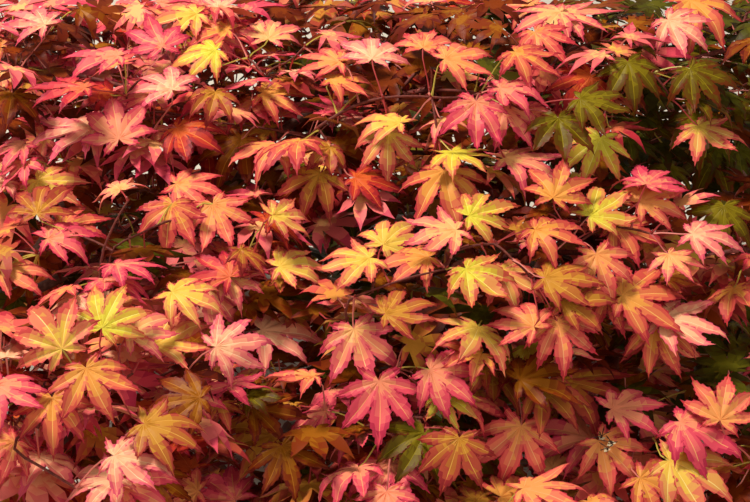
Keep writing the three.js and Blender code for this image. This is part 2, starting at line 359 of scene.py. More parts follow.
def growTwiglets(spray, line, rng):
    side = rng.choice((1, -1))
    for share in twiglet["shares"]:
        start = line.at(share)
        away = turned(line.level(share), side * rng.uniform(*twiglet["turn"]))
        away = unit(away + up * rng.uniform(*twiglet["slope"]))
        reach = rng.uniform(*twiglet["length"])
        tip = start + away * reach
        side = -side
        if spray.depth(tip)[0] > twiglet["depth"] or tip[2] < twiglet["ground"]:
            continue
        bend = start + away * reach * 0.5 + up * rng.uniform(*twiglet["bend"])
        spray.twigs.append((bezier(start, bend, bend, tip, twiglet["steps"]), *twiglet["radii"]))


for spray in sprays:
    growTwigs(spray, random.Random(seeds["twigs"] + spray.index))
print("twigs grown:", sum(len(spray.twigs) for spray in sprays))


class Heap:
    def __init__(self):
        self.points = []
        self.triangles = []
        self.tones = []
        self.count = 0

    def add(self, points, triangles, tones):
        self.points.append(np.asarray(points, float))
        self.triangles.append(np.asarray(triangles) + self.count)
        self.tones.append(np.broadcast_to(tones, len(triangles)))
        self.count += len(points)

    def joined(self):
        return np.concatenate(self.points), np.concatenate(self.triangles), np.concatenate(self.tones)


# A leaf: seven toothed lobes between notches, in shares of the reach of its middle lobe. Rows of points
# cross each lobe, and the underside is coarser and shares the rim.
leafForm = {
    "turns": (-121, -75, -37, 0, 37, 75, 121),
    "reaches": (0.4, 0.72, 0.93, 1.0, 0.93, 0.72, 0.4),
    "notchTurns": (-163, -98, -56, -18.5, 18.5, 56, 98, 163),
    "notchReaches": (0.05, 0.15, 0.23, 0.28, 0.28, 0.23, 0.15, 0.05),
    "commonRows": (0.08, 0.15, 0.23, 0.28),
    "halfWidth": 0.134,  # of the lobe's own reach
    "widthKnots": (0, 0.14, 0.22, 0.3, 0.38, 0.46, 0.58, 0.72, 0.86, 1),
    "widths": (0.66, 0.8, 0.9, 0.97, 1.0, 0.95, 0.72, 0.4, 0.15, 0),
    "wide": (0.92, 1.2),
    "turnStray": 3,
    "notchStray": 1.5,
    "reachStray": (0.9, 1.08),
    "widestGap": 1.2,  # radians
    "widestSine": 0.95,
    "notchFlare": 6,  # power by which a lobe goes over from its notch's width to its own
    "rowSpread": 0.92,  # power that sets the rows closer towards the tip
    "tooth": 0.036,
    "toothShares": (0.55, 0.45),  # of its height: at the tip, and what it gains towards the notch
    "toothLean": 0.74,
    "toothRise": -0.1,
    "thickness": 0.45,  # millimetres at the ribs
    "rimShare": 0.6,  # of the thickness, at the notches
    "jointRise": 0.3,
    "swell": 0.35,  # millimetres that the blade rises between rib and rim
    "ripple": 0.22,
    "ribColumn": 0.2,  # columns nearer than this belong to the rib
    "nearJoint": 0.04,
    "nearTip": 0.97,
    "variants": 8,
    "full": {
        "seed": 70,
        "freeRows": (3, 5, 6, 7, 6, 5, 3),
        "columns": (-1, -0.55, -0.045, 0.045, 0.55, 1),
        "bands": ("outer", "inner", "rib", "inner", "outer"),
        "toothed": True,
    },
    "plain": {  # for leaves deep in the branch
        "seed": 90,
        "freeRows": (2, 3, 4, 5, 4, 3, 2),
        "columns": (-1, 0, 1),
        "bands": ("outer", "outer"),
        "toothed": False,
    },
}
toneNames = ("rib", "heart", "inner", "outer", "edge", "under")


class LeafShape:
    def __init__(self, seed, kind):
        rng = random.Random(seed)
        self.kind = leafForm[kind]
        stray, notchStray = leafForm["turnStray"], leafForm["notchStray"]
        self.turns = [turn + rng.uniform(-stray, stray) for turn in leafForm["turns"]]
        self.reaches = [reach * rng.uniform(*leafForm["reachStray"]) for reach in leafForm["reaches"]]
        self.reaches[3] = 1.0
        self.notchTurns = [turn + rng.uniform(-notchStray, notchStray) for turn in leafForm["notchTurns"]]
        self.wide = rng.uniform(*leafForm["wide"])
        self.found = {}
        self.rows = []  # x, y, radius, lobe, distance from the lobe's rib, freedom, millimetres up
        self.faces = []
        self.tones = []  # band of the face and how far out it lies
        self.rimPicks = []
        self.build()

    def point(self, key, radius, angle, lobe, rise):
        if key not in self.found:
            self.found[key] = len(self.rows)
            off = radius * math.sin(angle - math.radians(self.turns[lobe]))
            bound = leafForm["notchReaches"][1 if lobe in (0, 6) else 3]
            free = max(0.0, (radius - bound) / (self.reaches[lobe] - bound))
            x, y = radius * math.cos(angle), radius * math.sin(angle)
            self.rows.append((x, y, radius, lobe, off, free, rise))
        return self.found[key]

    def halfAngle(self, lobe, side, radius):
        notch = lobe + (1 if side > 0 else 0)
        notchReach = leafForm["notchReaches"][notch]
        gap = abs(math.radians(self.notchTurns[notch] - self.turns[lobe]))
        if radius <= notchReach + hair:
            return gap
        reach = self.reaches[lobe]
        t = (radius - notchReach) / (reach - notchReach)
        widest = leafForm["halfWidth"] * reach * self.wide
        atNotch = notchReach * math.sin(min(gap, leafForm["widestGap"]))
        width = widest * np.interp(t, leafForm["widthKnots"], leafForm["widths"])
        width += (atNotch - widest * leafForm["widths"][0]) * max(0.0, 1 - t) ** leafForm["notchFlare"]
        return math.asin(min(max(width, 0) / radius, leafForm["widestSine"]))

    # The points across a lobe at one distance from the joint, on the face and under it
    def rowPoints(self, lobe, index, radius):
        axis = math.radians(self.turns[lobe])
        thick = leafForm["thickness"]
        above = []
        below = []
        for column in self.kind["columns"]:
            side = 1 if column > 0 else -1
            angle = axis + column * self.halfAngle(lobe, side, radius)
            notch = lobe + (1 if side > 0 else 0)
            notchReach = leafForm["notchReaches"][notch]
            onRim = abs(column) == 1
            shared = onRim and radius <= notchReach + hair
            key = ("notch", notch, index) if shared else ("top", lobe, index, column)
            onEdgeOrRib = onRim or abs(column) < leafForm["ribColumn"]
            rise = 0.0 if onEdgeOrRib else leafForm["swell"] + leafForm["ripple"] * (index % 2)
            above.append(self.point(key, radius, angle, lobe, rise))
            if onRim and radius < notchReach - hair:
                low = -thick * leafForm["rimShare"]
                below.append(self.point(("under", notch, index), radius, angle, lobe, low))
            elif onRim:
                below.append(above[-1])
        below.insert(1, self.point(("underRib", lobe, index), radius, axis, lobe, -thick))
        return above, below

    def face(self, corners, band, radius, lobe):
        self.faces.append(corners)
        self.tones.append((band, radius / self.reaches[lobe]))

    def strip(self, near, far, bands, middle, lobe):
        for column, band in enumerate(bands):
            a, b, c, d = near[column], near[column + 1], far[column + 1], far[column]
            self.face((a, d, c), band, middle, lobe)
            self.face((a, c, b), band, middle, lobe)

    # Under the blade each side reaches from the rib to the rim and out to the tooth
    def underStrip(self, near, far, peaks, middle, lobe):
        for rim, peak in zip((0, 2), peaks):
            outline = [far[1], far[rim], peak, near[rim]] if peak else [far[1], far[rim], near[rim]]
            if rim == 2:
                outline.reverse()
            for first, second in zip(outline, outline[1:]):
                self.face((near[1], first, second), "under", middle, lobe)

    def fan(self, middle, row, bands, radius, lobe, under=False):
        for column, band in enumerate(bands):
            corners = (middle, row[column], row[column + 1])
            self.face(corners[::-1] if under else corners, band, radius, lobe)

    def build(self):
        top = self.point("joint", 0.0, 0.0, 3, leafForm["jointRise"])
        under = self.point("underJoint", 0.0, 0.0, 3, -leafForm["thickness"])
        bands, lowBands = self.kind["bands"], ("under", "under")
        notches = leafForm["notchReaches"]
        nearJoint = leafForm["nearJoint"]
        for lobe in range(7):
            shared = max(notches[lobe], notches[lobe + 1])
            radii = [radius for radius in leafForm["commonRows"] if radius <= shared + hair]
            atNotch = len(radii) - 1
            freeCount = self.kind["freeRows"][lobe]
            start, reach = radii[-1], self.reaches[lobe]
            steps = [(step / freeCount) ** leafForm["rowSpread"] for step in range(1, freeCount)]
            radii += [start + (reach - start) * step for step in steps]
            above, below = zip(*(self.rowPoints(lobe, index, radius) for index, radius in enumerate(radii)))
            tip = self.point(("tip", lobe), reach, math.radians(self.turns[lobe]), lobe, 0.0)
            self.fan(top, above[0], bands, nearJoint, lobe)
            self.fan(under, below[0], lowBands, nearJoint, lobe, under=True)
            for index in range(len(radii) - 1):
                middle = (radii[index] + radii[index + 1]) / 2
                self.strip(above[index], above[index + 1], bands, middle, lobe)
                peaks = [
                    self.tooth(lobe, side, index, radii, above[index][column], above[index + 1][column])
                    for side, column in ((-1, 0), (1, -1))
                ]
                self.underStrip(below[index], below[index + 1], peaks, middle, lobe)
            nearTip = reach * leafForm["nearTip"]
            self.fan(tip, above[-1][::-1], bands[::-1], nearTip, lobe)
            self.fan(tip, below[-1][::-1], lowBands, nearTip, lobe, under=True)
            half = len(radii) // 2 + 1
            self.rimPicks.append((above[atNotch][0], above[half][0], tip, above[half][-1]))
            rimEnd = above[atNotch][-1]
            if lobe == 0:  # the blade's base is closed on both sides of the stalk
                self.face((top, under, above[0][0]), "under", nearJoint, lobe)
            if lobe == 6:
                self.face((under, top, above[0][-1]), "under", nearJoint, lobe)
        self.toArrays(rimEnd)

    def toArrays(self, rimEnd):
        self.points = np.array([row[:2] for row in self.rows])
        self.radius, self.off, self.rise = (np.array([row[pick] for row in self.rows]) for pick in (2, 4, 6))
        self.lobe = np.array([row[3] for row in self.rows])
        self.free = np.clip([row[5] for row in self.rows], 0, 1)
        self.faces = np.array(self.faces)
        self.band = np.array([toneNames.index(tone[0]) for tone in self.tones])
        self.out = np.array([tone[1] for tone in self.tones])
        self.faceMiddle = self.points[self.faces].mean(axis=1)
        self.coarse = np.array([0] + [pick for lobe in self.rimPicks for pick in lobe] + [rimEnd])
        self.coarseFaces = [(0, index, index + 1) for index in range(1, len(self.coarse) - 1)]

    def tooth(self, lobe, side, index, radii, near, far):
        notch = lobe + (1 if side > 0 else 0)
        if radii[index] < leafForm["notchReaches"][notch] - hair or not self.kind["toothed"]:
            return None
        start = np.array(self.rows[near][:2])
        end = np.array(self.rows[far][:2])
        along = end - start
        outward = np.array([-along[1], along[0]]) * side
        outward /= max(np.linalg.norm(outward), hair)
        least, gain = leafForm["toothShares"]
        height = leafForm["tooth"] * (least + gain * (1 - radii[index] / self.reaches[lobe]))
        apex = start + along * leafForm["toothLean"] + outward * height
        radius = float(np.linalg.norm(apex))
        angle = math.atan2(apex[1], apex[0])
        peak = self.point(("tooth", lobe, side, index), radius, angle, lobe, leafForm["toothRise"])
        corners = (near, peak, far) if side < 0 else (near, far, peak)
        self.face(corners, "edge", radii[index], lobe)
        return peak


leafShapes, plainShapes = (
    [LeafShape(leafForm[kind]["seed"] + index, kind) for index in range(leafForm["variants"])]
    for kind in ("full", "plain")
)
print("leaf shapes of", len(leafShapes[0].faces), "and", len(plainShapes[0].faces), "triangles")

leafGrowth = {
    "most": 52,  # in a spray
    "tries": 10,
    "reach": (25, 43),
    "petiole": (12, 30),
    "pairTurn": 60,
    "stray": (-32, 32),
    "tipStray": (-60, 60),
    "slope": (-0.3, 0.55),
    "pitch": (-14, 24),
    "roll": (-24, 24),
    "droop": (0.0, 0.26),
    "bend": (-0.3, 0.65),
    "fold": (0.05, 0.6),
    "twist": (-0.5, 0.5),
    "sideDroop": (0.0, 0.16),
    "sweep": (-0.12, 0.12),
    "wave": (0.0, 0.07),
    "phase": (0, 6),
    "blush": (-0.14, 0.16),  # how far the red comes in from the tips
    "deep": 0.5,  # leaves deeper in their spray are plain ones
    "spaceLimit": 1.12,  # leaves may hang this far out of the spaces that hold the twigs
    "ground": 3,
    "sites": {
        "main": (0.12, 0.25, 0.38, 0.52, 0.64, 0.78, 0.9),
        "side": (0.25, 0.5, 0.75),
        "twiglet": (0.5,),
    },
    "tipSite": 0.985,
    "longTwiglet": 32,  # longer twigs have the sites of a side twig
    "shownSpare": 8,
}
bending = {
    "curl": 1.7,  # power by which a lobe's bend grows towards its tip
    "curlShare": 0.55,
    "waves": 11,
    "sideCurl": 1.5,
    "shortening": 0.3,  # a bent lobe reaches less far
    "mostLift": 0.8,
    "shorteningCurl": 1.5,
}
lying = {"from": 0.9, "height": 0.35, "room": 0.55, "softness": 0.08, "rise": 0.3}


def lobeDraws(rng, key):
    return np.array([rng.uniform(*leafGrowth[key]) for lobe in range(7)])


class Leaf:
    def __init__(self, rng, joint, ahead, across, reach, palette, calm=1.0, shapes=leafShapes):
        self.shape = rng.choice(shapes)
        self.palette = palette
        self.joint = joint
        self.ahead = ahead
        self.across = across
        self.normal = np.cross(ahead, across)
        self.reach = reach
        self.seed = rng.random() * 1000
        self.droop = rng.uniform(*leafGrowth["droop"])
        self.bends = lobeDraws(rng, "bend") * calm
        self.twists = lobeDraws(rng, "twist") * calm
        self.sweeps = lobeDraws(rng, "sweep")
        self.sideDroop = rng.uniform(*leafGrowth["sideDroop"])
        self.fold = rng.uniform(*leafGrowth["fold"])
        self.wave = rng.uniform(*leafGrowth["wave"])
        self.phase = rng.uniform(*leafGrowth["phase"])
        self.blush = rng.uniform(*leafGrowth["blush"])
        self.outline = self.bent(self.shape.coarse)

    # The shape's points in their places: the lobes droop, bend, twist and fold along their ribs
    def bent(self, picks):
        shape = self.shape
        flat, radius, lobe = shape.points[picks], shape.radius[picks], shape.lobe[picks]
        off, free, rise = shape.off[picks], shape.free[picks], shape.rise[picks]
        lift = -self.droop * radius**2
        lift = lift - self.bends[lobe] * free ** bending["curl"] * bending["curlShare"] * radius
        lift += self.fold * np.abs(off) + self.twists[lobe] * off * free
        lift += self.wave * np.sin(radius * bending["waves"] + self.phase + lobe) * free
        lift -= self.sideDroop * np.abs(flat[:, 1]) ** bending["sideCurl"]
        sweep = self.sweeps[lobe] * free
        x = flat[:, 0] * np.cos(sweep) - flat[:, 1] * np.sin(sweep)
        y = flat[:, 0] * np.sin(sweep) + flat[:, 1] * np.cos(sweep)
        lost = np.clip(np.abs(lift), 0, bending["mostLift"]) ** bending["shorteningCurl"]
        long = self.reach * (1 - bending["shortening"] * lost)
        points = (
            self.joint
            + (long * x)[:, None] * self.ahead
            + (long * y)[:, None] * self.across
            + (self.reach * lift + rise)[:, None] * self.normal
        )
        low = points[:, 2] < lying["from"]  # a lobe that meets the ground lies on it
        left = np.exp((points[low, 2] - lying["from"]) * lying["softness"])
        points[low, 2] = lying["height"] + lying["room"] * left + rise[low] * lying["rise"]
        return points


obstacleSet = {"room": 4000, "spare": 0.5, "limbSteps": 14, "twigSteps": 6, "lean": 1e-3}


class Obstacles:
    def __init__(self):
        self.boxes = np.zeros((obstacleSet["room"], 2, 3))
        self.trees = []

    def add(self, points, faces, owner=None):
        spare = obstacleSet["spare"]
        self.boxes[len(self.trees)] = points.min(axis=0) - spare, points.max(axis=0) + spare
        self.trees.append((BVHTree.FromPolygons(points.tolist(), faces), owner))

    def meets(self, points, faces, skip=None):
        boxes = self.boxes[: len(self.trees)]
        near = (boxes[:, 0] < points.max(axis=0)).all(axis=1) & (boxes[:, 1] > points.min(axis=0)).all(axis=1)
        tree = BVHTree.FromPolygons(points.tolist(), faces)
        for index in np.flatnonzero(near):
            other, owner = self.trees[index]
            if (owner is None or owner is not skip) and tree.overlap(other):
                return True
        return False


obstacles = Obstacles()
shownLeaves = []  # what nothing may hide in the picture: middle, size and depth


# A thin three-sided stand-in for a limb, for the test of what meets what
def slimLimb(line, radius, steps):
    points, faces = [], []
    for index, share in enumerate(np.linspace(0, 1, steps + 1)):
        middle, forward = line.at(share), line.heading(share)
        side = unit(np.cross(forward, up + obstacleSet["lean"]))
        top = np.cross(side, forward)
        for corner in range(3):
            angle = corner * 2 * math.pi / 3
            points.append(middle + radius * (math.cos(angle) * side + math.sin(angle) * top))
        if index:
            for corner in range(3):
                a, b = (index - 1) * 3 + corner, (index - 1) * 3 + (corner + 1) % 3
                faces += [(a, b, b + 3), (a, b + 3, a + 3)]
    return np.array(points), faces


pictureLeafSet = {
    "reach": (34, 50),
    "shell": 0.8,  # how far out in its spray's space such a leaf's joint lies
    "facing": (0.85, -0.14),  # share and start of the tilt to the camera
    "clear": 0.62,  # share of its size that nothing may hide
    "step": 5,
    "steps": 16,
    "depths": (-330, 420, 4.0),
    "ground": 6,
    "calm": 0.75,
    "twigClear": 5,  # pixels kept free around the points of a twig
    "feet": (0.1, 0.95, 40),  # where on its bearer such a twig may start
}


# The depth at which a ray of the picture first comes into a spray's space
def shellDepth(u, v):
    for depth in np.arange(*pictureLeafSet["depths"]):
        point = fromPicture(u, v, depth)
        spray, out = nearestSpray(point)
        if out < pictureLeafSet["shell"] and point[2] > pictureLeafSet["ground"]:
            return depth
    return None


# Thin twigs that show between the leaves of the photograph: their points in the picture, how far they lie
# behind the first leaves, and their radii
pictureTwigs = [
    (((309, 134), (330, 119), (354, 105), (384, 97), (420, 96), (450, 99), (480, 94)), 22, (1.3, 0.7)),
    (((309, 134), (280, 131), (246, 125), (220, 123)), 24, (1.0, 0.6)),
    (((262, 72), (290, 62), (304, 47)), 8, (0.8, 0.55)),
    (((100, 262), (105, 244), (117, 218), (128, 201)), 12, (1.0, 0.6)),
    (((104, 250), (135, 236), (158, 225)), 14, (0.9, 0.6)),
    (((335, 304), (372, 290), (410, 277), (446, 269)), 6, (0.9, 0.6)),
    (((5, 447), (40, 466), (76, 488)), 14, (0.9, 0.7)),
]


# Cuts the corners of a run of points again and again
def rounded(points, times=3):
    for turn in range(times):
        near, far = points[:-1], points[1:]
        cut = np.stack([0.75 * near + 0.25 * far, 0.25 * near + 0.75 * far], axis=1).reshape(-1, 3)
        points = np.concatenate([points[:1], cut, points[-1:]])
    return Line(points)


# Each starts at the nearest limb or main twig
def growPictureTwigs():
    bearers = [line for line, base, tip in limbs.values()] + [spray.mainLine for spray in sprays]
    nodes = np.concatenate([line.at(np.linspace(*pictureLeafSet["feet"])) for line in bearers])
    for places, behind, radii in pictureTwigs:
        depths = [shellDepth(u, v) for u, v in places]
        depth = min(found for found in depths if found is not None) + behind
        points = np.array([fromPicture(u, v, depth) for u, v in places])
        foot = nodes[np.argmin(np.linalg.norm(nodes - points[0], axis=1))]
        line = rounded(np.concatenate([[foot], points]))
        spray = nearestSpray(points[len(points) // 2])[0]
        spray.twigs.append((line, *radii))
        for u, v in places:
            shownLeaves.append((u, v, pictureLeafSet["twigClear"], depth))


growPictureTwigs()
for name, (line, base, tip) in limbs.items():
    obstacles.add(*slimLimb(line, (base + tip) / 2, obstacleSet["limbSteps"]))
for spray in sprays:
    for line, base, tip in spray.twigs:
        obstacles.add(*slimLimb(line, base, obstacleSet["twigSteps"]), owner=line)

# Leaves that are read off the photograph: the joint and the tip of the middle lobe in the picture, how
# far the blade faces the camera (0 lies level), and the colours. Front ones come first.
pictureLeaves = [
    # centre and lower middle
    (379, 381, 383, 450, 0.95, "pink"),
    (354, 329, 372, 388, 0.85, "peach"),
    (430, 370, 478, 396, 0.7, "pink"),
    (385, 314, 440, 296, 0.45, "copper"),
    (459, 438, 445, 491, 0.85, "copper"),
    (424, 433, 397, 484, 0.8, "olive"),
    (282, 446, 306, 494, 0.7, "rust"),
    (253, 409, 312, 416, 0.5, "rust"),
    (262, 330, 331, 334, 0.45, "blush"),
    (279, 267, 322, 258, 0.45, "gold"),
    (370, 258, 340, 264, 0.35, "gold"),
    (429, 257, 388, 259, 0.3, "salmon"),
    (466, 269, 494, 290, 0.5, "lemon"),
    (383, 245, 410, 215, 0.6, "gold"),
    (469, 216, 499, 206, 0.6, "lemon"),
    (456, 230, 423, 235, 0.35, "peach"),
    (444, 171, 453, 224, 0.5, "salmon"),
    (355, 178, 386, 183, 0.35, "crimson"),
    # crown
    (476, 102, 472, 144, 0.75, "pink"),
    (445, 59, 498, 45, 0.5, "coral"),
    (423, 48, 432, 24, 0.35, "coral"),
    (372, 59, 372, 29, 0.5, "blush"),
    (340, 62, 304, 54, 0.3, "coral"),
    (268, 39, 271, 22, 0.4, "peach"),
    (263, 93, 312, 90, 0.4, "salmon"),
    (330, 79, 376, 76, 0.15, "salmon"),
    (400, 123, 354, 112, 0.2, "gold"),
    (389, 133, 386, 170, 0.7, "gold"),
    # left
    (119, 139, 104, 86, 0.8, "pink"),
    (216, 50, 168, 60, 0.5, "lemon"),
    (197, 14, 151, 20, 0.4, "gold"),
    (228, 30, 195, 24, 0.4, "salmon"),
    (172, 204, 166, 234, 0.75, "salmon"),
    (213, 204, 237, 246, 0.8, "coral"),
    (176, 184, 221, 187, 0.4, "coral"),
    (37, 180, 57, 192, 0.7, "gold"),
    (37, 214, 37, 186, 0.6, "copper"),
    (48, 239, 83, 232, 0.35, "pink"),
    (61, 227, 92, 216, 0.5, "salmon"),
    (118, 56, 60, 52, 0.15, "pink"),
    (162, 47, 152, 25, 0.6, "pink"),
    (172, 90, 146, 70, 0.5, "blush"),
    (150, 95, 107, 83, 0.3, "pink"),
    (8, 172, 6, 138, 0.6, "pink"),
    (92, 128, 20, 140, 0.2, "blush"),
    (85, 88, 20, 84, 0.12, "rose"),
    (45, 25, 5, 8, 0.4, "blush"),
    # lower left
    (62, 349, 19, 289, 0.9, "gold"),
    (86, 368, 110, 417, 0.8, "salmon"),
    (102, 328, 123, 278, 0.8, "lemon"),
    (216, 347, 263, 336, 0.8, "blush"),
    (128, 334, 160, 311, 0.55, "peach"),
    (154, 345, 212, 320, 0.25, "gold"),
    (114, 456, 181, 462, 0.5, "blush"),
    (120, 478, 88, 482, 0.3, "blush"),
    (-5, 385, 46, 404, 0.3, "pink"),
    (52, 398, 59, 445, 0.7, "salmon"),
    (0, 270, 48, 267, 0.3, "coral"),
    (200, 398, 158, 401, 0.6, "rust"),
    (144, 424, 210, 440, 0.5, "copper"),
    (172, 292, 215, 300, 0.3, "gold"),
    (230, 277, 205, 260, 0.5, "rose"),
    (235, 500, 200, 478, 0.5, "pink"),
    # right, from the top
    (668, 20, 698, 39, 0.6, "blush"),
    (690, 0, 729, 39, 0.5, "salmon"),
    (560, 12, 505, 25, 0.3, "peach"),
    (562, 14, 625, 9, 0.2, "peach"),
    (535, 32, 560, 54, 0.5, "coral"),
    (515, 52, 562, 75, 0.4, "salmon"),
    (500, 88, 553, 94, 0.25, "pink"),
    (503, 106, 524, 134, 0.6, "pink"),
    (628, 62, 635, 93, 0.7, "olive"),
    (558, 118, 561, 146, 0.7, "olive"),
    (600, 138, 590, 163, 0.7, "lemon"),
    (690, 69, 712, 92, 0.7, "olive"),
    (698, 126, 723, 154, 0.5, "gold"),
    (580, 99, 611, 106, 0.5, "olive"),
    (553, 198, 566, 163, 0.7, "salmon"),
    (505, 158, 575, 152, 0.15, "peach"),
    (590, 216, 632, 194, 0.6, "lemon"),
    (640, 202, 694, 176, 0.6, "coral"),
    (614, 226, 670, 240, 0.5, "salmon"),
    (535, 230, 578, 243, 0.4, "salmon"),
    (692, 234, 735, 238, 0.3, "blush"),
    (724, 206, 722, 232, 0.8, "olive"),
    # lower right
    (498, 272, 538, 286, 0.4, "gold"),
    (545, 278, 612, 280, 0.4, "copper"),
    (596, 254, 607, 287, 0.8, "coral"),
    (622, 296, 700, 288, 0.6, "salmon"),
    (563, 301, 625, 300, 0.6, "copper"),
    (662, 318, 734, 325, 0.35, "blush"),
    (655, 326, 674, 363, 0.8, "salmon"),
    (534, 327, 505, 303, 0.6, "coral"),
    (557, 322, 569, 369, 0.8, "coral"),
    (600, 441, 634, 472, 0.8, "coral"),
    (521, 426, 503, 488, 0.9, "coral"),
    (612, 409, 670, 402, 0.4, "pink"),
    (540, 388, 575, 418, 0.6, "copper"),
    (560, 380, 640, 395, 0.3, "copper"),
    (680, 422, 744, 450, 0.5, "pink"),
    (720, 420, 730, 380, 0.8, "coral"),
    (670, 461, 742, 485, 0.5, "gold"),
    (640, 478, 690, 500, 0.6, "salmon"),
    (520, 380, 590, 366, 0.4, "rust"),
]

# Which colours a spray's leaves are dealt: high ones mostly lighter palettes as painted light, low ones mostly
# darker palettes as painted shade
paintedLightAndShadeDealing = {
    "coral": (
        {"coral": 4, "salmon": 2, "peach": 3, "gold": 1, "pink": 2, "blush": 1},
        {"rose": 1, "crimson": 2, "rust": 3, "coral": 1, "copper": 2, "olive": 1},
    ),
    "rose": (
        {"peach": 3, "pink": 4, "coral": 3, "blush": 3},
        {"crimson": 2, "rose": 2, "rust": 2, "copper": 1},
    ),
    "amber": (
        {"gold": 3, "salmon": 3, "lemon": 2, "copper": 2, "peach": 1},
        {"rust": 3, "copper": 2, "crimson": 2, "olive": 1, "salmon": 1},
    ),
    "red": (
        {"coral": 2, "rose": 3, "salmon": 1, "crimson": 2, "copper": 1},
        {"crimson": 3, "rust": 4, "rose": 1},
    ),
    "russet": (
        {"coral": 3, "salmon": 2, "pink": 3, "copper": 2, "peach": 1},
        {"rust": 3, "copper": 2, "olive": 2, "rose": 1, "crimson": 1},
    ),
    "moss": (
        {"olive": 5, "moss": 4, "copper": 1, "rust": 1},
        {"olive": 2, "moss": 4, "rust": 1},
    ),
}
# Leaves deep in the branch are dealt dark palettes, most of all dusk, as painted shade
paintedShadeDealing = {
    "coral": {"dusk": 3, "rust": 2, "moss": 1},
    "rose": {"dusk": 3, "crimson": 1, "rust": 2},
    "amber": {"dusk": 3, "rust": 3, "moss": 1},
    "red": {"dusk": 4, "rust": 2},
    "russet": {"dusk": 2, "rust": 2, "moss": 3},
    "moss": {"moss": 4, "dusk": 1},
}


# Tips the dealing towards the lighter palettes of painted light
paintedLightBias = 0.1


def drawPalette(rng, weights):
    return rng.choices(list(weights), list(weights.values()))[0]


# The higher a leaf sits in its spray, the likelier it gets a lighter palette as painted light; lower ones get
# darker palettes as painted shade
def dealt(rng, spray, height):
    paintedLit, paintedShaded = paintedLightAndShadeDealing[spray.group]
    share = 0.5 + (height - spray.centre[2]) / (2 * spray.half[2])
    return drawPalette(rng, paintedLit if rng.random() < share + paintedLightBias else paintedShaded)


def pictureFrame(u, v, tipU, tipV, facing, depth):
    joint = fromPicture(u, v, depth)
    share, base = pictureLeafSet["facing"]
    normal = unit(blend(up, -lookAlong, facing * share + base))
    scale = millimetresPerPixel(depth)
    flat = (tipU - u) * scale * pictureRight + (v - tipV) * scale * pictureUp
    ahead = flat - lookAlong * (normal @ flat) / (normal @ lookAlong)
    reach = float(np.clip(np.linalg.norm(ahead), *pictureLeafSet["reach"]))
    ahead = unit(ahead)
    return joint, ahead, np.cross(normal, ahead), reach


# The leaves may reach this far out of the box that holds the branch's solids
boxSpare = np.array([14.0, 12.0, 11.0])
boxLow = np.array(cadBox[0]) * 1000 - layoutShift - boxSpare
boxHigh = np.array(cadBox[1]) * 1000 - layoutShift + boxSpare


def insideBox(points):
    return ((points > boxLow) & (points < boxHigh)).all(axis=-1)


def putLeaf(leaf, spray, node, line=None):
    leaf.points = leaf.bent(slice(None))
    spray.leaves.append(leaf)
    leaf.node = node
    leaf.line = line
    obstacles.add(leaf.outline, leaf.shape.coarseFaces, owner=leaf)


def putPictureLeaves():
    placed = 0
    for index, (u, v, tipU, tipV, facing, palette) in enumerate(pictureLeaves):
        rng = random.Random(seeds["pictureLeaves"] + index)
        first = shellDepth(u, v)
        if first is None:
            continue
        for step in range(pictureLeafSet["steps"]):
            depth = first + step * pictureLeafSet["step"]
            joint, ahead, across, reach = pictureFrame(u, v, tipU, tipV, facing, depth)
            leaf = Leaf(rng, joint, ahead, across, reach, palette, calm=pictureLeafSet["calm"])
            outline = leaf.outline
            if not insideBox(outline).all() or obstacles.meets(outline, leaf.shape.coarseFaces):
                continue
            putLeaf(leaf, nearestSpray(joint)[0], None)
            seen = toPicture(outline)
            middle = seen[:, :2].mean(axis=0)
            size = pictureLeafSet["clear"] * np.linalg.norm(seen[:, :2] - middle, axis=1).max()
            shownLeaves.append((*middle, size, seen[:, 2].min()))
            placed += 1
            break
    print("leaves of the picture:", placed, "left out:", len(pictureLeaves) - placed)


putPictureLeaves()


# A joint that lies too far from its twig gets a new twiglet to bear it
def reachedFrom(spray, foot, line, joint):
    distance = np.linalg.norm(foot - joint)
    if distance < reaching["longestStalk"]:
        return foot, line
    end = blend(joint, foot, reaching["newStalk"] / distance) + up * reaching["dip"]
    middle = (foot + end) / 2 + up * distance * reaching["arch"]
    first, second = (blend(start, middle, reaching["pull"]) for start in (foot, end))
    grown = bezier(foot, first, second, end, reaching["steps"])
    spray.twigs.append((grown, *twiglet["radii"]))
    return end, grown


# The stalk's foot is the nearest point of a twig, best behind the blade
joining = {
    "spaceLimit": 1.6,
    "places": (0.08, 1, 12),
    "stalk": 18,
    "turnCost": 16,
    "otherSprayCost": 12,
    "least": 7,
    "tooNearCost": 99,
}


def joinToTwig(leaf, spray):
    best = None
    for other in sprays:
        if other is not spray and other.depth(leaf.joint)[0] > joining["spaceLimit"]:
            continue
        for line, base, tip in other.twigs:
            points = line.at(np.linspace(*joining["places"]))
            offset = points - leaf.joint
            distance = np.linalg.norm(offset, axis=1)
            behind = -(offset @ leaf.ahead) / np.maximum(distance, 1)
            cost = np.abs(distance - joining["stalk"]) + joining["turnCost"] * (1 - behind)
            cost = cost + (0 if other is spray else joining["otherSprayCost"])
            cost = cost + joining["tooNearCost"] * (distance < joining["least"])
            pick = int(np.argmin(cost))
            if best is None or cost[pick] < best[0]:
                best = (cost[pick], points[pick], line)
    cost, foot, line = best
    leaf.node, leaf.line = reachedFrom(spray, foot, line, leaf.joint)


for spray in sprays:
    for leaf in spray.leaves:
        joinToTwig(leaf, spray)


# Whether a leaf would stand in front of one that the picture shows
def hides(leaf):
    shown = np.array(shownLeaves)
    seen = toPicture(leaf.outline)
    seen = np.concatenate([seen, seen.mean(axis=0)[None, :]])
    nearer = seen[-1, 2] <= shown[:, 3] + leafGrowth["shownSpare"]
    apart = np.hypot(seen[:, 0, None] - shown[:, 0], seen[:, 1, None] - shown[:, 1])
    return bool((nearer & (apart < shown[:, 2]).any(axis=0)).any())


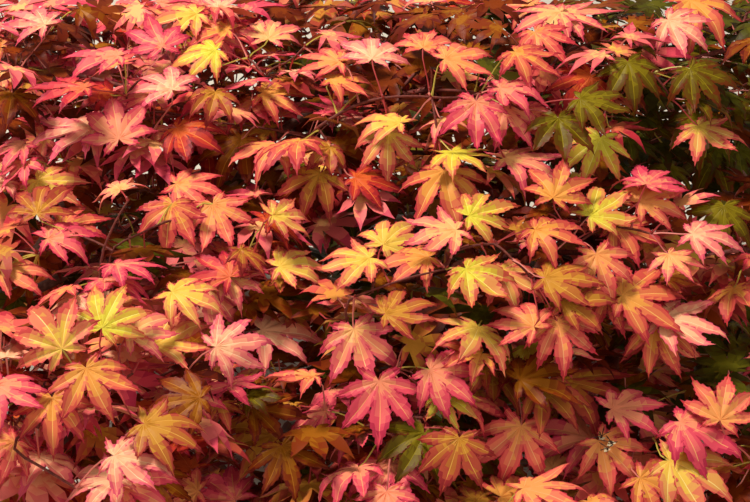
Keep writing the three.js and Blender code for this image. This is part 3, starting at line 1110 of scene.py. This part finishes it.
def sitesOf(spray):
    sites = []
    for index, (line, base, tip) in enumerate(spray.twigs):
        kind = "main" if index == 0 else "side" if line.length > leafGrowth["longTwiglet"] else "twiglet"
        sites.append((line, leafGrowth["tipSite"], 0, leafGrowth["tipStray"]))
        for share in leafGrowth["sites"][kind]:
            for sign in (1, -1):
                sites.append((line, share, sign * leafGrowth["pairTurn"], leafGrowth["stray"]))
    return sites


# Which way a leaf points and lies across, tilted from the level heading
def tilted(rng, level):
    pitch = math.radians(rng.uniform(*leafGrowth["pitch"]))
    roll = math.radians(rng.uniform(*leafGrowth["roll"]))
    side = np.array([-level[1], level[0], 0.0])
    ahead = level * math.cos(pitch) - up * math.sin(pitch)
    return ahead, side * math.cos(roll) + np.cross(ahead, side) * math.sin(roll)


# The rest of the foliage grows at the nodes of the twigs, first at their tips
def growLeaves(spray, rng):
    sites = sitesOf(spray)
    rng.shuffle(sites)
    sites.sort(key=lambda site: site[1] < leafGrowth["tipSite"])
    for line, share, turn, stray in sites:
        if len(spray.leaves) >= leafGrowth["most"]:
            break
        for attempt in range(leafGrowth["tries"]):
            node = line.at(share)
            level = turned(line.level(share), turn + rng.uniform(*stray))
            away = unit(level + up * rng.uniform(*leafGrowth["slope"]))
            joint = node + away * rng.uniform(*leafGrowth["petiole"])
            if spray.depth(joint)[0] > 1.0 or joint[2] < leafGrowth["ground"]:
                continue
            ahead, across = tilted(rng, level)
            shapes = plainShapes if spaceDepths(joint).min() < leafGrowth["deep"] else leafShapes
            leaf = Leaf(rng, joint, ahead, across, rng.uniform(*leafGrowth["reach"]), None, shapes=shapes)
            outline = leaf.outline
            if not insideBox(outline).all():
                continue
            if spaceDepths(outline).min(axis=1).max() > leafGrowth["spaceLimit"]:
                continue
            if hides(leaf) or obstacles.meets(outline, leaf.shape.coarseFaces, skip=line):
                continue
            leaf.palette = dealt(rng, spray, joint[2])
            putLeaf(leaf, spray, node, line)
            break


for spray in sprays:
    growLeaves(spray, random.Random(seeds["leaves"] + spray.index))
print("leaves:", sum(len(spray.leaves) for spray in sprays))

# Thin places, seen from the front, get more leaves from the nearest twigs, and a few stay open
thinPlaces = {
    "cell": 3,  # pixels
    "depths": (-200, 340, 10),
    "around": 3,  # cells on each side that count towards a hole
    "stalk": (12, 68),
    "costStray": (0, 14),
    "back": (2, 14),  # the joint lies this far before the point that is to be covered
    "rise": 0.4,  # share of the slope from the twig that the leaf keeps
    "reach": (25, 42),
    "spaceLimit": 1.25,
    "ground": 5,
    "nodeEvery": 9,
    "leastNodes": 3,
    "firstNode": 0.1,
    "most": 820,
    "rounds": 4,
    "variants": 10,
    "outer": 0.66,  # leaves further out than this are dealt their spray's painted light and shade; deeper ones get dark palettes as painted shade
    "full": 0.82,
    "open": [
        (262, 148, 280, 163),
        (288, 151, 300, 160),
        (250, 166, 262, 173),
        (318, 160, 340, 172),
        (72, 410, 92, 446),
    ],
}
cameraPlace = cameraSet["target"] - lookAlong * cameraSet["distance"]


def foliageTree():
    points, faces = [], []
    for spray in sprays:
        for leaf in spray.leaves:
            faces += [tuple(corner + len(points) for corner in face) for face in leaf.shape.coarseFaces]
            points += leaf.outline.tolist()
    return BVHTree.FromPolygons(points, faces)


def bladeTree():
    heap = Heap()
    for spray in sprays:
        for leaf in spray.leaves:
            heap.add(leaf.points, leaf.shape.faces, 0)
    points, faces, tones = heap.joined()
    return BVHTree.FromPolygons(points.tolist(), faces.tolist())


def firstSeen(tree, u, v):
    ahead = Vector(fromPicture(u, v, 0) - cameraPlace).normalized()
    return tree.ray_cast(Vector(cameraPlace), ahead)[0]


def cellMiddle(column, row):
    return (column + 0.5) * thinPlaces["cell"], (row + 0.5) * thinPlaces["cell"]


# The picture in cells, and which of them the foliage covers
class Cover:
    def __init__(self):
        self.size = tuple(pixels // thinPlaces["cell"] + 1 for pixels in cameraSet["picture"])
        self.cells = np.zeros(self.size, bool)

    # Looks through the middle of each cell for anything that grows there
    def look(self):
        tree = bladeTree()
        for column, row in np.ndindex(*self.size):
            self.cells[column, row] = firstSeen(tree, *cellMiddle(column, row)) is not None
        for place in thinPlaces["open"]:
            left, top, right, bottom = (edge // thinPlaces["cell"] for edge in place)
            self.cells[left : right + 1, top : bottom + 1] = True

    def add(self, leaf):
        places = (toPicture(leaf.points)[:, :2] // thinPlaces["cell"]).astype(int)
        inside = ((places >= 0) & (places < self.size)).all(axis=1)
        self.cells[places[inside, 0], places[inside, 1]] = True

    # How much of the place around a cell is bare
    def hole(self, column, row):
        around = thinPlaces["around"]
        columns = slice(max(column - around, 0), column + around + 1)
        return int((~self.cells[columns, max(row - around, 0) : row + around + 1]).sum())


def nodeTree():
    nodes = []
    for spray in sprays:
        for line, base, tip in spray.twigs:
            count = max(thinPlaces["leastNodes"], int(line.length / thinPlaces["nodeEvery"]))
            for share in np.linspace(thinPlaces["firstNode"], 1, count):
                nodes.append((line.at(share), line, spray))
    tree = KDTree(len(nodes))
    for index, (point, line, spray) in enumerate(nodes):
        tree.insert(point, index)
    tree.balance()
    return tree, nodes


def fillLeaf(u, v, tree, nodes, rng):
    found = []
    points = fromPicture(u, v, np.arange(*thinPlaces["depths"])[:, None])
    near = spaceDepths(points).min(axis=1) <= thinPlaces["spaceLimit"]
    for point in points[near & insideBox(points) & (points[:, 2] >= thinPlaces["ground"])]:
        place, index, distance = tree.find(point)
        if thinPlaces["stalk"][0] < distance < thinPlaces["stalk"][1]:
            found.append((distance + rng.uniform(*thinPlaces["costStray"]), point, index))
    found.sort(key=lambda entry: entry[0])
    for cost, point, index in found[: thinPlaces["variants"]]:
        node, line, spray = nodes[index]
        away = unit((point - node) * (1, 1, thinPlaces["rise"]))
        level = unit(away * (1, 1, 0) + hair)
        joint = point - away * rng.uniform(*thinPlaces["back"])
        ahead, across = tilted(rng, level)
        shown = min(other.depth(joint)[0] for other in sprays if other.centre[2] <= spray.centre[2])
        shapes = leafShapes if shown > thinPlaces["full"] else plainShapes
        leaf = Leaf(rng, joint, ahead, across, rng.uniform(*thinPlaces["reach"]), None, shapes=shapes)
        outline = leaf.outline
        if not insideBox(outline).all() or hides(leaf):
            continue
        if not obstacles.meets(outline, leaf.shape.coarseFaces, skip=line):
            # A deep leaf gets a dark palette as painted shade; one further out gets its spray's painted light
            # and shade
            leaf.palette = drawPalette(rng, paintedShadeDealing[spray.group])
            if shown > thinPlaces["outer"]:
                leaf.palette = dealt(rng, spray, joint[2])
            putLeaf(leaf, spray, *reachedFrom(spray, node, line, joint))
            return leaf
    return None


def fillThinPlaces():
    rng = random.Random(seeds["fill"])
    cover = Cover()
    tree, nodes = nodeTree()
    added = 0
    for turn in range(thinPlaces["rounds"]):
        if added >= thinPlaces["most"]:
            break
        cover.look()
        cells = [tuple(cell) for cell in np.argwhere(~cover.cells)]
        print("bare cells:", len(cells), "of", cover.cells.size)
        rng.shuffle(cells)
        cells.sort(key=lambda cell: -cover.hole(*cell))
        for column, row in cells:
            if cover.cells[column, row] or added >= thinPlaces["most"]:
                continue
            leaf = fillLeaf(*cellMiddle(column, row), tree, nodes, rng)
            if leaf:
                cover.add(leaf)
                added += 1
    print("leaves added:", added)


fillThinPlaces()
for spray in sprays:
    print(" ", spray.name, len(spray.leaves))


# Colours: each leaf has one palette, and each of its bands a plain tone of it
palettes = {
    "blush": ("FFD2A8", "FAB88E", "F59C80", "EC7A74", "DA526A", "E8987E"),
    "coral": ("F2B07A", "EE9A58", "E87A5C", "DE5A54", "C03442", "D8785C"),
    "peach": ("F8C888", "F4B070", "EE8E6C", "E46868", "CC445A", "E29072"),
    "salmon": ("EEB666", "E69A48", "DC744C", "CE5246", "AE2E3A", "CE8054"),
    "gold": ("F2D684", "E8BC4E", "E09E54", "DC7656", "CA4A48", "D09C4E"),
    "lemon": ("ECDE78", "DCCA40", "D6B23E", "D68C4C", "C85240", "BEB04E"),
    "pink": ("F2A870", "EE8E6C", "E66666", "DC4A5E", "BE304E", "DE706C"),
    "rose": ("EC9454", "E0704C", "D64C4A", "C43240", "9E1E36", "CE604E"),
    "crimson": ("E07E3C", "D05A2A", "BC3626", "A22428", "7A141E", "B04E30"),
    "copper": ("D8A04A", "C48630", "B4682E", "AE4834", "90282A", "AE743C"),
    "rust": ("B2701E", "9A5A10", "88440A", "7E300C", "62180E", "864C1A"),
    "olive": ("988416", "7E6C0E", "6A560A", "604009", "682C0C", "6C6018"),
    "moss": ("6E6816", "5A540E", "4A4609", "423607", "482806", "565C1C"),
    # dusk: a dark palette that stands as painted shade for leaves deep in the branch
    "dusk": ("944410", "80340A", "6E2608", "621C08", "4C120A", "76380E"),
}
leafFinish = {
    "roughness": (0.36, 0.56),
    "grainScale": 900,
    "grainDepth": 0.00012,
    "gloss": 0.1,
}
paleGrain = {"scale": 800, "depth": 0.0001, "spread": 0.08}


def linear(text):
    shown = [int(text[index : index + 2], 16) / 255 for index in (0, 2, 4)]
    return [value / 12.92 if value <= 0.04045 else ((value + 0.055) / 1.055) ** 2.4 for value in shown] + [1]


def nodesOf(name):
    material = bpy.data.materials.new(name)
    material.use_nodes = True
    tree = material.node_tree
    return material, tree, tree.nodes["Principled BSDF"]


def grain(tree, scale, detail=3):
    place = tree.nodes.new("ShaderNodeTexCoord")
    texture = tree.nodes.new("ShaderNodeTexNoise")
    texture.inputs["Scale"].default_value = scale
    texture.inputs["Detail"].default_value = detail
    tree.links.new(place.outputs["Object"], texture.inputs["Vector"])
    return texture.outputs["Fac"]


def ranged(tree, source, low, high):
    node = tree.nodes.new("ShaderNodeMapRange")
    node.inputs["To Min"].default_value = low
    node.inputs["To Max"].default_value = high
    tree.links.new(source, node.inputs["Value"])
    return node.outputs["Result"]


def bumped(tree, shader, source, depth):
    node = tree.nodes.new("ShaderNodeBump")
    node.inputs["Strength"].default_value = 1.0
    node.inputs["Distance"].default_value = depth
    tree.links.new(source, node.inputs["Height"])
    tree.links.new(node.outputs["Normal"], shader.inputs["Normal"])


# One plain colour with a fine grain in its roughness and relief
def grained(name, colour, roughness, scale, depth):
    material, tree, shader = nodesOf(name)
    shader.inputs["Base Color"].default_value = linear(colour)
    fine = grain(tree, scale)
    tree.links.new(ranged(tree, fine, *roughness), shader.inputs["Roughness"])
    bumped(tree, shader, fine, depth)
    return material, shader


def leafTone(name, colour):
    scale, depth = leafFinish["grainScale"], leafFinish["grainDepth"]
    material, shader = grained(name, colour, leafFinish["roughness"], scale, depth)
    shader.inputs["Specular IOR Level"].default_value = leafFinish["gloss"]
    material.diffuse_color = linear(colour)
    return material


leafMaterials = {}
for palette, tones in palettes.items():
    for tone, colour in zip(toneNames, tones):
        leafMaterials[palette, tone] = leafTone(f"{palette}_leaf_{tone}", colour)


def ramp(tree, source, stops):
    node = tree.nodes.new("ShaderNodeValToRGB")
    elements = node.color_ramp.elements
    while len(elements) < len(stops):
        elements.new(0.5)
    for element, (place, colour) in zip(elements, stops):
        element.position = place
        element.color = linear(colour)
    tree.links.new(source, node.inputs["Fac"])
    return node.outputs["Color"]


barkFinish = {
    "limb": [(0.2, "33160F"), (0.45, "552A1E"), (0.62, "6E4436"), (0.8, "9A7A66")],
    "twig": [(0.2, "4A1712"), (0.5, "6E241C"), (0.8, "8E4A36")],
    "limbScale": 260,
    "twigScale": 500,
    "roughness": (0.6, 0.85),
    "limbDepth": 0.0006,
    "twigDepth": 0.00025,
    "coarseDetail": 6,
    "fineDetail": 4,
    "fineness": 3,
}


def barkMaterial(name, stops, scale, depth):
    material, tree, shader = nodesOf(name)
    coarse = grain(tree, scale, barkFinish["coarseDetail"])
    fine = grain(tree, scale * barkFinish["fineness"], barkFinish["fineDetail"])
    tree.links.new(ramp(tree, coarse, stops), shader.inputs["Base Color"])
    tree.links.new(ranged(tree, coarse, *barkFinish["roughness"]), shader.inputs["Roughness"])
    bumped(tree, shader, fine, depth)
    return material


limbBark, twigBark = (
    barkMaterial(kind + "_bark", barkFinish[kind], barkFinish[kind + "Scale"], barkFinish[kind + "Depth"])
    for kind in ("limb", "twig")
)


def plainFinish(name, colour, roughness, scale=paleGrain["scale"]):
    around = (roughness - paleGrain["spread"], roughness + paleGrain["spread"])
    return grained(name, colour, around, scale, paleGrain["depth"])[0]


stalkColours = {"stalk_red": "B23A3A", "stalk_pink": "D9776C", "stalk_yellow": "C9B24A"}
stalkRoughness = 0.42
stalkMaterials = [plainFinish(name, colour, stalkRoughness) for name, colour in stalkColours.items()]


sharpAngle = math.radians(55)


# A piece that rides on the root body; one that stands for nodes hides the parts it replaces
def meshPiece(name, heap, materials, replaced=()):
    points, triangles, tones = heap.joined()
    mesh = bpy.data.meshes.new(name)
    mesh.vertices.add(len(points))
    mesh.vertices.foreach_set("co", toScene(points).astype(np.float32).ravel())
    mesh.loops.add(len(triangles) * 3)
    mesh.loops.foreach_set("vertex_index", np.asarray(triangles, np.int32).ravel())
    mesh.polygons.add(len(triangles))
    mesh.polygons.foreach_set("loop_start", np.arange(0, len(triangles) * 3, 3, dtype=np.int32))
    mesh.update(calc_edges=True)
    for material in materials:
        mesh.materials.append(material)
    mesh.polygons.foreach_set("material_index", np.asarray(tones, np.int32))
    mesh.polygons.foreach_set("use_smooth", np.ones(len(triangles), bool))
    mesh.set_sharp_from_angle(angle=sharpAngle)
    piece = bpy.data.objects.new(name, mesh)
    bpy.context.scene.collection.objects.link(piece)
    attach(piece, "root")
    if replaced:
        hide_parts(*replaced)
    print(name, len(triangles), "triangles")


# A face's tone: its band, redder towards the tips, with blotches that shift it
toneReaches = {  # for each band of the blade, from how far out to how far out it has which tone
    "inner": ((-9, 0.38, "heart"), (0.68, 9, "outer"), (0.96, 9, "edge")),
    "outer": ((-9, 0.44, "inner"), (-9, 0.26, "heart"), (0.78, 9, "edge")),
    "rib": ((0.86, 9, "outer"),),
}
blotches = {  # three broad waves across the blade and a finer one, on faces whose middles are scaled up
    "scale": 9,
    "broad": ((1.7, 0, 1), (0, 2.3, 1.7), (3.1, 3.1, 2.9)),
    "fine": (5.3, -4.1, 1),
    "fineShare": 0.8,
    "shift": 0.07,
}


def facesTones(leaf):
    shape = leaf.shape
    x, y = shape.faceMiddle.T * blotches["scale"]
    blotch = 0
    for alongX, alongY, salt in blotches["broad"]:
        blotch = blotch + np.sin(x * alongX + y * alongY + leaf.seed * salt)
    alongX, alongY, salt = blotches["fine"]
    blotch += blotches["fineShare"] * np.sin(x * alongX + y * alongY + leaf.seed * salt)
    out = shape.out + blotch * blotches["shift"] + leaf.blush
    tones = shape.band
    for band, reaches in toneReaches.items():
        inBand = shape.band == toneNames.index(band)
        for near, far, tone in reaches:
            tones = np.where(inBand & (out > near) & (out < far), toneNames.index(tone), tones)
    return tones


def leafPiece(name, members):
    heap = Heap()
    used = sorted({leaf.palette for spray in members for leaf in spray.leaves})
    for spray in members:
        for leaf in spray.leaves:
            start = used.index(leaf.palette) * len(toneNames)
            heap.add(leaf.points, leaf.shape.faces, start + facesTones(leaf))
    materials = [leafMaterials[palette, tone] for palette in used for tone in toneNames]
    meshPiece(name, heap, materials, ["spray_" + spray.name for spray in members])


endBulge = 0.3  # of the radius
steep = 0.9  # a limb that rises more than this takes its side from another axis


# A round limb along a line, with a radius for each ring; the last triangles close its start and its end
def tube(line, radii, sides, relief=None):
    rings = len(radii) - 1
    shares = np.linspace(0, 1, rings + 1)
    middles = line.at(shares)
    forward = np.gradient(middles, axis=0)
    forward /= np.linalg.norm(forward, axis=1)[:, None]
    side = unit(np.cross(forward[0], up if abs(forward[0][2]) < steep else pictureRight))
    angles = np.arange(sides) * 2 * math.pi / sides
    points = []
    for index in range(rings + 1):
        side = unit(side - forward[index] * (side @ forward[index]))
        top = np.cross(forward[index], side)
        ring = np.full(sides, radii[index])
        if relief:
            ring = ring + relief(shares[index] * line.length, angles, radii[index])
        around = np.cos(angles)[:, None] * side + np.sin(angles)[:, None] * top
        points.append(middles[index] + ring[:, None] * around)
    points += [middles[:1], middles[-1:] + forward[-1] * endBulge * radii[-1]]
    near = np.arange(sides)
    following = (near + 1) % sides
    starts = sides * np.arange(rings)[:, None]
    first, second = near + starts, following + starts
    walls = np.stack([first, second, second + sides, first, second + sides, first + sides], axis=-1)
    last = rings * sides
    start = np.stack([np.full(sides, last + sides), following, near], axis=-1)
    end = np.stack([np.full(sides, last + sides + 1), last + near, last + following], axis=-1)
    return np.concatenate(points), np.concatenate([walls.reshape(-1, 3), start, end])


leafGroups = {
    "leaves_coral_back": (("crown_front", "left_middle"), "coral_leaves"),
    "leaves_coral_front": (("front_middle", "right_shoulder"), "coral_leaves"),
    "leaves_rose_back": (("crown_left", "back_left"), "rose_leaves"),
    "leaves_rose_front": (("low_right", "front_left", "low_front_right"), "rose_leaves"),
    "leaves_amber": (("crown_back", "middle"), "amber_leaves"),
    "leaves_red": (("left_far", "low_back_left", "low_left", "low_front_left"), "red_leaves"),
    "leaves_green": (("crown_right", "back_right", "far_right_low", "low_back"), "green_leaves"),
}
for name, (members, slot) in leafGroups.items():
    leafPiece(name, [sprayNamed[member] for member in members])

stalkForm = {
    "radius": 0.46,
    "foot": 0.42,
    "head": 0.2,
    "swelling": 12,
    "sides": 4,
    "rings": 4,
    "steps": 8,
    "under": 0.2,  # millimetres below the blade's joint
    "rise": 0.25,
    "pulls": (0.35, 0.3),
    "sag": 0.06,
    "colours": (0, 0, 1, 1, 2),
}
budForm = {"length": (2.2, 3.6), "rise": 1.4, "radii": (0.5, 0.85, 0.05), "sides": 4, "share": 0.4}
twigForm = {"ringEvery": 7, "leastRings": 4, "sides": 7}


def stalk(leaf):
    joint = leaf.joint - leaf.normal * stalkForm["under"]
    distance = np.linalg.norm(joint - leaf.node)
    out = unit(joint - leaf.node)
    footPull, headPull = stalkForm["pulls"]
    first = leaf.node + unit(out + up * stalkForm["rise"]) * distance * footPull
    second = joint - leaf.ahead * distance * headPull - leaf.normal * distance * stalkForm["sag"]
    line = bezier(leaf.node, first, second, joint, stalkForm["steps"])
    shares = np.linspace(0, 1, stalkForm["rings"] + 1)
    swelling = stalkForm["foot"] * np.exp(-shares * stalkForm["swelling"])
    swelling = swelling + stalkForm["head"] * np.exp(-(1 - shares) * stalkForm["swelling"])
    return tube(line, stalkForm["radius"] + swelling, stalkForm["sides"])


# A bud in the corner between a stalk and its twig
def bud(leaf, rng):
    heading = unit(unit(leaf.joint - leaf.node) + up * budForm["rise"])
    line = Line([leaf.node, leaf.node + heading * rng.uniform(*budForm["length"])])
    return tube(line, budForm["radii"], budForm["sides"])


twigHeap = Heap()
stalkHeap = Heap()
for spray in sprays:
    for line, base, tip in spray.twigs:
        rings = max(twigForm["leastRings"], int(line.length / twigForm["ringEvery"]))
        twigHeap.add(*tube(line, np.linspace(base, tip, rings + 1), twigForm["sides"]), 0)
    rng = random.Random(seeds["stalks"] + spray.index)
    for leaf in spray.leaves:
        stalkHeap.add(*stalk(leaf), rng.choice(stalkForm["colours"]))
        if rng.random() < budForm["share"]:
            twigHeap.add(*bud(leaf, rng), 1)
meshPiece("twigs", twigHeap, [twigBark, plainFinish("bud_red", "8E2A24", 0.4)])
meshPiece("leaf_stalks", stalkHeap, stalkMaterials)

# Withered flowers that lie on the leaves of the right: cream petals and dark forked threads
flowerForm = {
    "places": ((588, 427), (601, 440), (611, 446), (622, 451), (607, 452), (558, 31)),  # in the picture
    "aside": (0, -5, 5),  # pixels that a flower may lie beside its place, and below it
    "lower": (0, 6, 12),
    "lift": 0.3,
    "height": 2.6,
    "stemRadii": (0.3, 0.25, 0.5),
    "stemSides": 5,
    "petals": 5,
    "petal": (1.9, 3.0),
    "petalWidest": 0.55,
    "petalWide": 0.42,
    "petalThick": 0.16,
    "petalStray": (-20, 20),
    "petalRise": (-0.2, 0.6),
    "threads": 6,
    "thread": (3.5, 7.0),
    "threadRise": (0.1, 1.3),
    "threadPulls": (0.4, 0.6),
    "threadSteps": 6,
    "threadSides": 4,
    "threadRadii": (0.3, 0.24, 0.2, 0.42, 0.1),
    "cream": "F0DDB4",
    "dark": "3A1814",
}


def petal(start, ahead, length):
    side = unit(np.cross(ahead, up))
    top = np.cross(side, ahead)
    wide, thick = length * flowerForm["petalWide"], length * flowerForm["petalThick"]
    middle = start + ahead * length * flowerForm["petalWidest"]
    points = [start, start + ahead * length, middle + side * wide, middle - side * wide]
    points += [middle + top * thick, middle - top * thick]
    triangles = [(0, 2, 4), (2, 1, 4), (1, 3, 4), (3, 0, 4), (2, 0, 5), (1, 2, 5), (3, 1, 5), (0, 3, 5)]
    return points, triangles


def thread(head, rng):
    around = turned(pictureRight, rng.uniform(0, 360))
    reach = rng.uniform(*flowerForm["thread"])
    end = head + unit(around + up * rng.uniform(*flowerForm["threadRise"])) * reach
    first, second = flowerForm["threadPulls"]
    line = bezier(head, head + up * reach * first, blend(head, end, second), end, flowerForm["threadSteps"])
    return tube(line, flowerForm["threadRadii"], flowerForm["threadSides"])


# The first leaf that is seen at a flower's place or close to it
def flowerFoot(tree, u, v):
    for down in flowerForm["lower"]:
        for across in flowerForm["aside"]:
            seen = firstSeen(tree, u + across, v + down)
            if seen is not None:
                return np.array(seen) - lookAlong * flowerForm["lift"]
    return None


def flowers():
    rng = random.Random(seeds["flowers"])
    tree = foliageTree()
    heap = Heap()
    for u, v in flowerForm["places"]:
        foot = flowerFoot(tree, u, v)
        if foot is None:
            continue
        head = foot + unit(up - lookAlong) * flowerForm["height"]
        heap.add(*tube(Line([foot, head]), flowerForm["stemRadii"], flowerForm["stemSides"]), 1)
        for index in range(flowerForm["petals"]):
            turn = index * 360 / flowerForm["petals"] + rng.uniform(*flowerForm["petalStray"])
            ahead = unit(turned(pictureRight, turn) + up * rng.uniform(*flowerForm["petalRise"]))
            heap.add(*petal(head, ahead, rng.uniform(*flowerForm["petal"])), 0)
        for index in range(flowerForm["threads"]):
            heap.add(*thread(head, rng), 1)
    cream = plainFinish("flower_cream", flowerForm["cream"], 0.5)
    dark = plainFinish("flower_thread", flowerForm["dark"], 0.6)
    meshPiece("withered_flowers", heap, [cream, dark])


flowers()

# Stem and boughs with ridged bark, collars where they part and a pale cut end
limbForm = {
    "sides": 14,
    "stemSides": 24,
    "ringEvery": 2.6,
    "ridges": (0.1, 0.03, 1.4),  # share of the radius, how often along and how often around
    "grain": (0.05, 0.35, 3),
    "collar": 0.16,
    "collarLength": 9,
    "scarEvery": 44,
    "scar": 0.35,
    "scarLength": 2.2,
}
cutFinish = {"stops": [(0.15, "E9D2A4"), (0.95, "BE9660")], "ringWidth": 0.0012, "roughness": 0.7}


def barkNoise(walked, angle, salt):
    rise = 0
    for share, along, around in (limbForm["ridges"], limbForm["grain"]):
        place = Vector((walked * along, around * math.cos(angle), around * math.sin(angle) + salt))
        rise += share * noise.noise(place)
    return rise


def limbRelief(salt):
    def relief(walked, angles, radius):
        rough = [barkNoise(walked, angle, salt) for angle in angles]
        fromScar = (walked % limbForm["scarEvery"]) - limbForm["scarEvery"] / 2
        scar = limbForm["scar"] * math.exp(-((fromScar / limbForm["scarLength"]) ** 2))
        return radius * np.array(rough) + scar

    return relief


def worked(tree, source, operation, value, kind="ShaderNodeMath"):
    node = tree.nodes.new(kind)
    node.operation = operation
    node.inputs[1].default_value = value
    tree.links.new(source, node.inputs[0])
    return node.outputs["Value"]


# Growth rings around the middle of the cut
def cutMaterial(middle):
    material, tree, shader = nodesOf("cut_wood")
    place = tree.nodes.new("ShaderNodeTexCoord").outputs["Object"]
    away = worked(tree, place, "DISTANCE", tuple(middle), "ShaderNodeVectorMath")
    rings = worked(tree, away, "PINGPONG", cutFinish["ringWidth"])
    share = worked(tree, rings, "DIVIDE", cutFinish["ringWidth"])
    tree.links.new(ramp(tree, share, cutFinish["stops"]), shader.inputs["Base Color"])
    shader.inputs["Roughness"].default_value = cutFinish["roughness"]
    return material


limbHeap = Heap()
for name, (line, base, tip) in limbs.items():
    isStem = name == "stem"
    rings = int(line.length / limbForm["ringEvery"])
    radii = np.linspace(base, tip, rings + 1)
    if not isStem:
        walked = np.linspace(0, line.length, rings + 1)
        radii = radii * (1 + limbForm["collar"] * np.exp(-walked / limbForm["collarLength"]))
    sides = limbForm["stemSides"] if isStem else limbForm["sides"]
    points, triangles = tube(line, radii, sides, limbRelief(len(name)))
    tones = np.zeros(len(triangles), int)
    if isStem:
        tones[-2 * sides : -sides] = 1
    limbHeap.add(points, triangles, tones)
replaced = ["main_stem"] + ["bough_" + name for name in limbs if name != "stem"]
cutWood = cutMaterial(toScene(limbs["stem"][0].at(0)))
meshPiece("stem_and_boughs", limbHeap, [limbBark, cutWood], replaced)


# Stage and light
stageSet = {
    "half": 6.0,
    "floor": "CFC9BD",
    "roughness": 0.8,
    "grainScale": 60,
    "world": (1.0, 0.93, 0.82),
    "worldStrength": 0.31,
}


def makeStage():
    mesh = bpy.data.meshes.new("floor")
    half = stageSet["half"]
    corners = [(-half, -half, 0), (half, -half, 0), (half, half, 0), (-half, half, 0)]
    mesh.from_pydata(corners, [], [(0, 1, 2, 3)])
    floor = bpy.data.objects.new("floor", mesh)
    bpy.context.scene.collection.objects.link(floor)
    paper = plainFinish("floor_paper", stageSet["floor"], stageSet["roughness"], stageSet["grainScale"])
    mesh.materials.append(paper)
    world = bpy.data.worlds.new("studio")
    world.use_nodes = True
    background = world.node_tree.nodes["Background"]
    background.inputs["Color"].default_value = (*stageSet["world"], 1)
    background.inputs["Strength"].default_value = stageSet["worldStrength"]
    bpy.context.scene.world = world


lampSet = {  # place in metres from the middle of the branch, size, watts, colour
    "key": ((-0.8, 0.35, 1.9), 0.45, 48, (1.0, 0.94, 0.83)),
    "fill": ((0.9, -1.6, 1.1), 1.6, 9, (1.0, 0.91, 0.77)),
}
lampAim = Vector((0, 0, 0.12))


def makeLamps():
    for name, (place, size, watts, colour) in lampSet.items():
        data = bpy.data.lights.new(name, "AREA")
        data.size = size
        data.energy = watts
        data.color = colour
        lamp = bpy.data.objects.new(name, data)
        lamp.location = place
        lamp.rotation_euler = (lampAim - Vector(place)).to_track_quat("-Z", "Y").to_euler()
        bpy.context.scene.collection.objects.link(lamp)


makeStage()
makeLamps()
bpy.context.scene.view_settings.view_transform = "Standard"

print("cad box", [tuple(round(value, 4) for value in corner) for corner in cadBox])
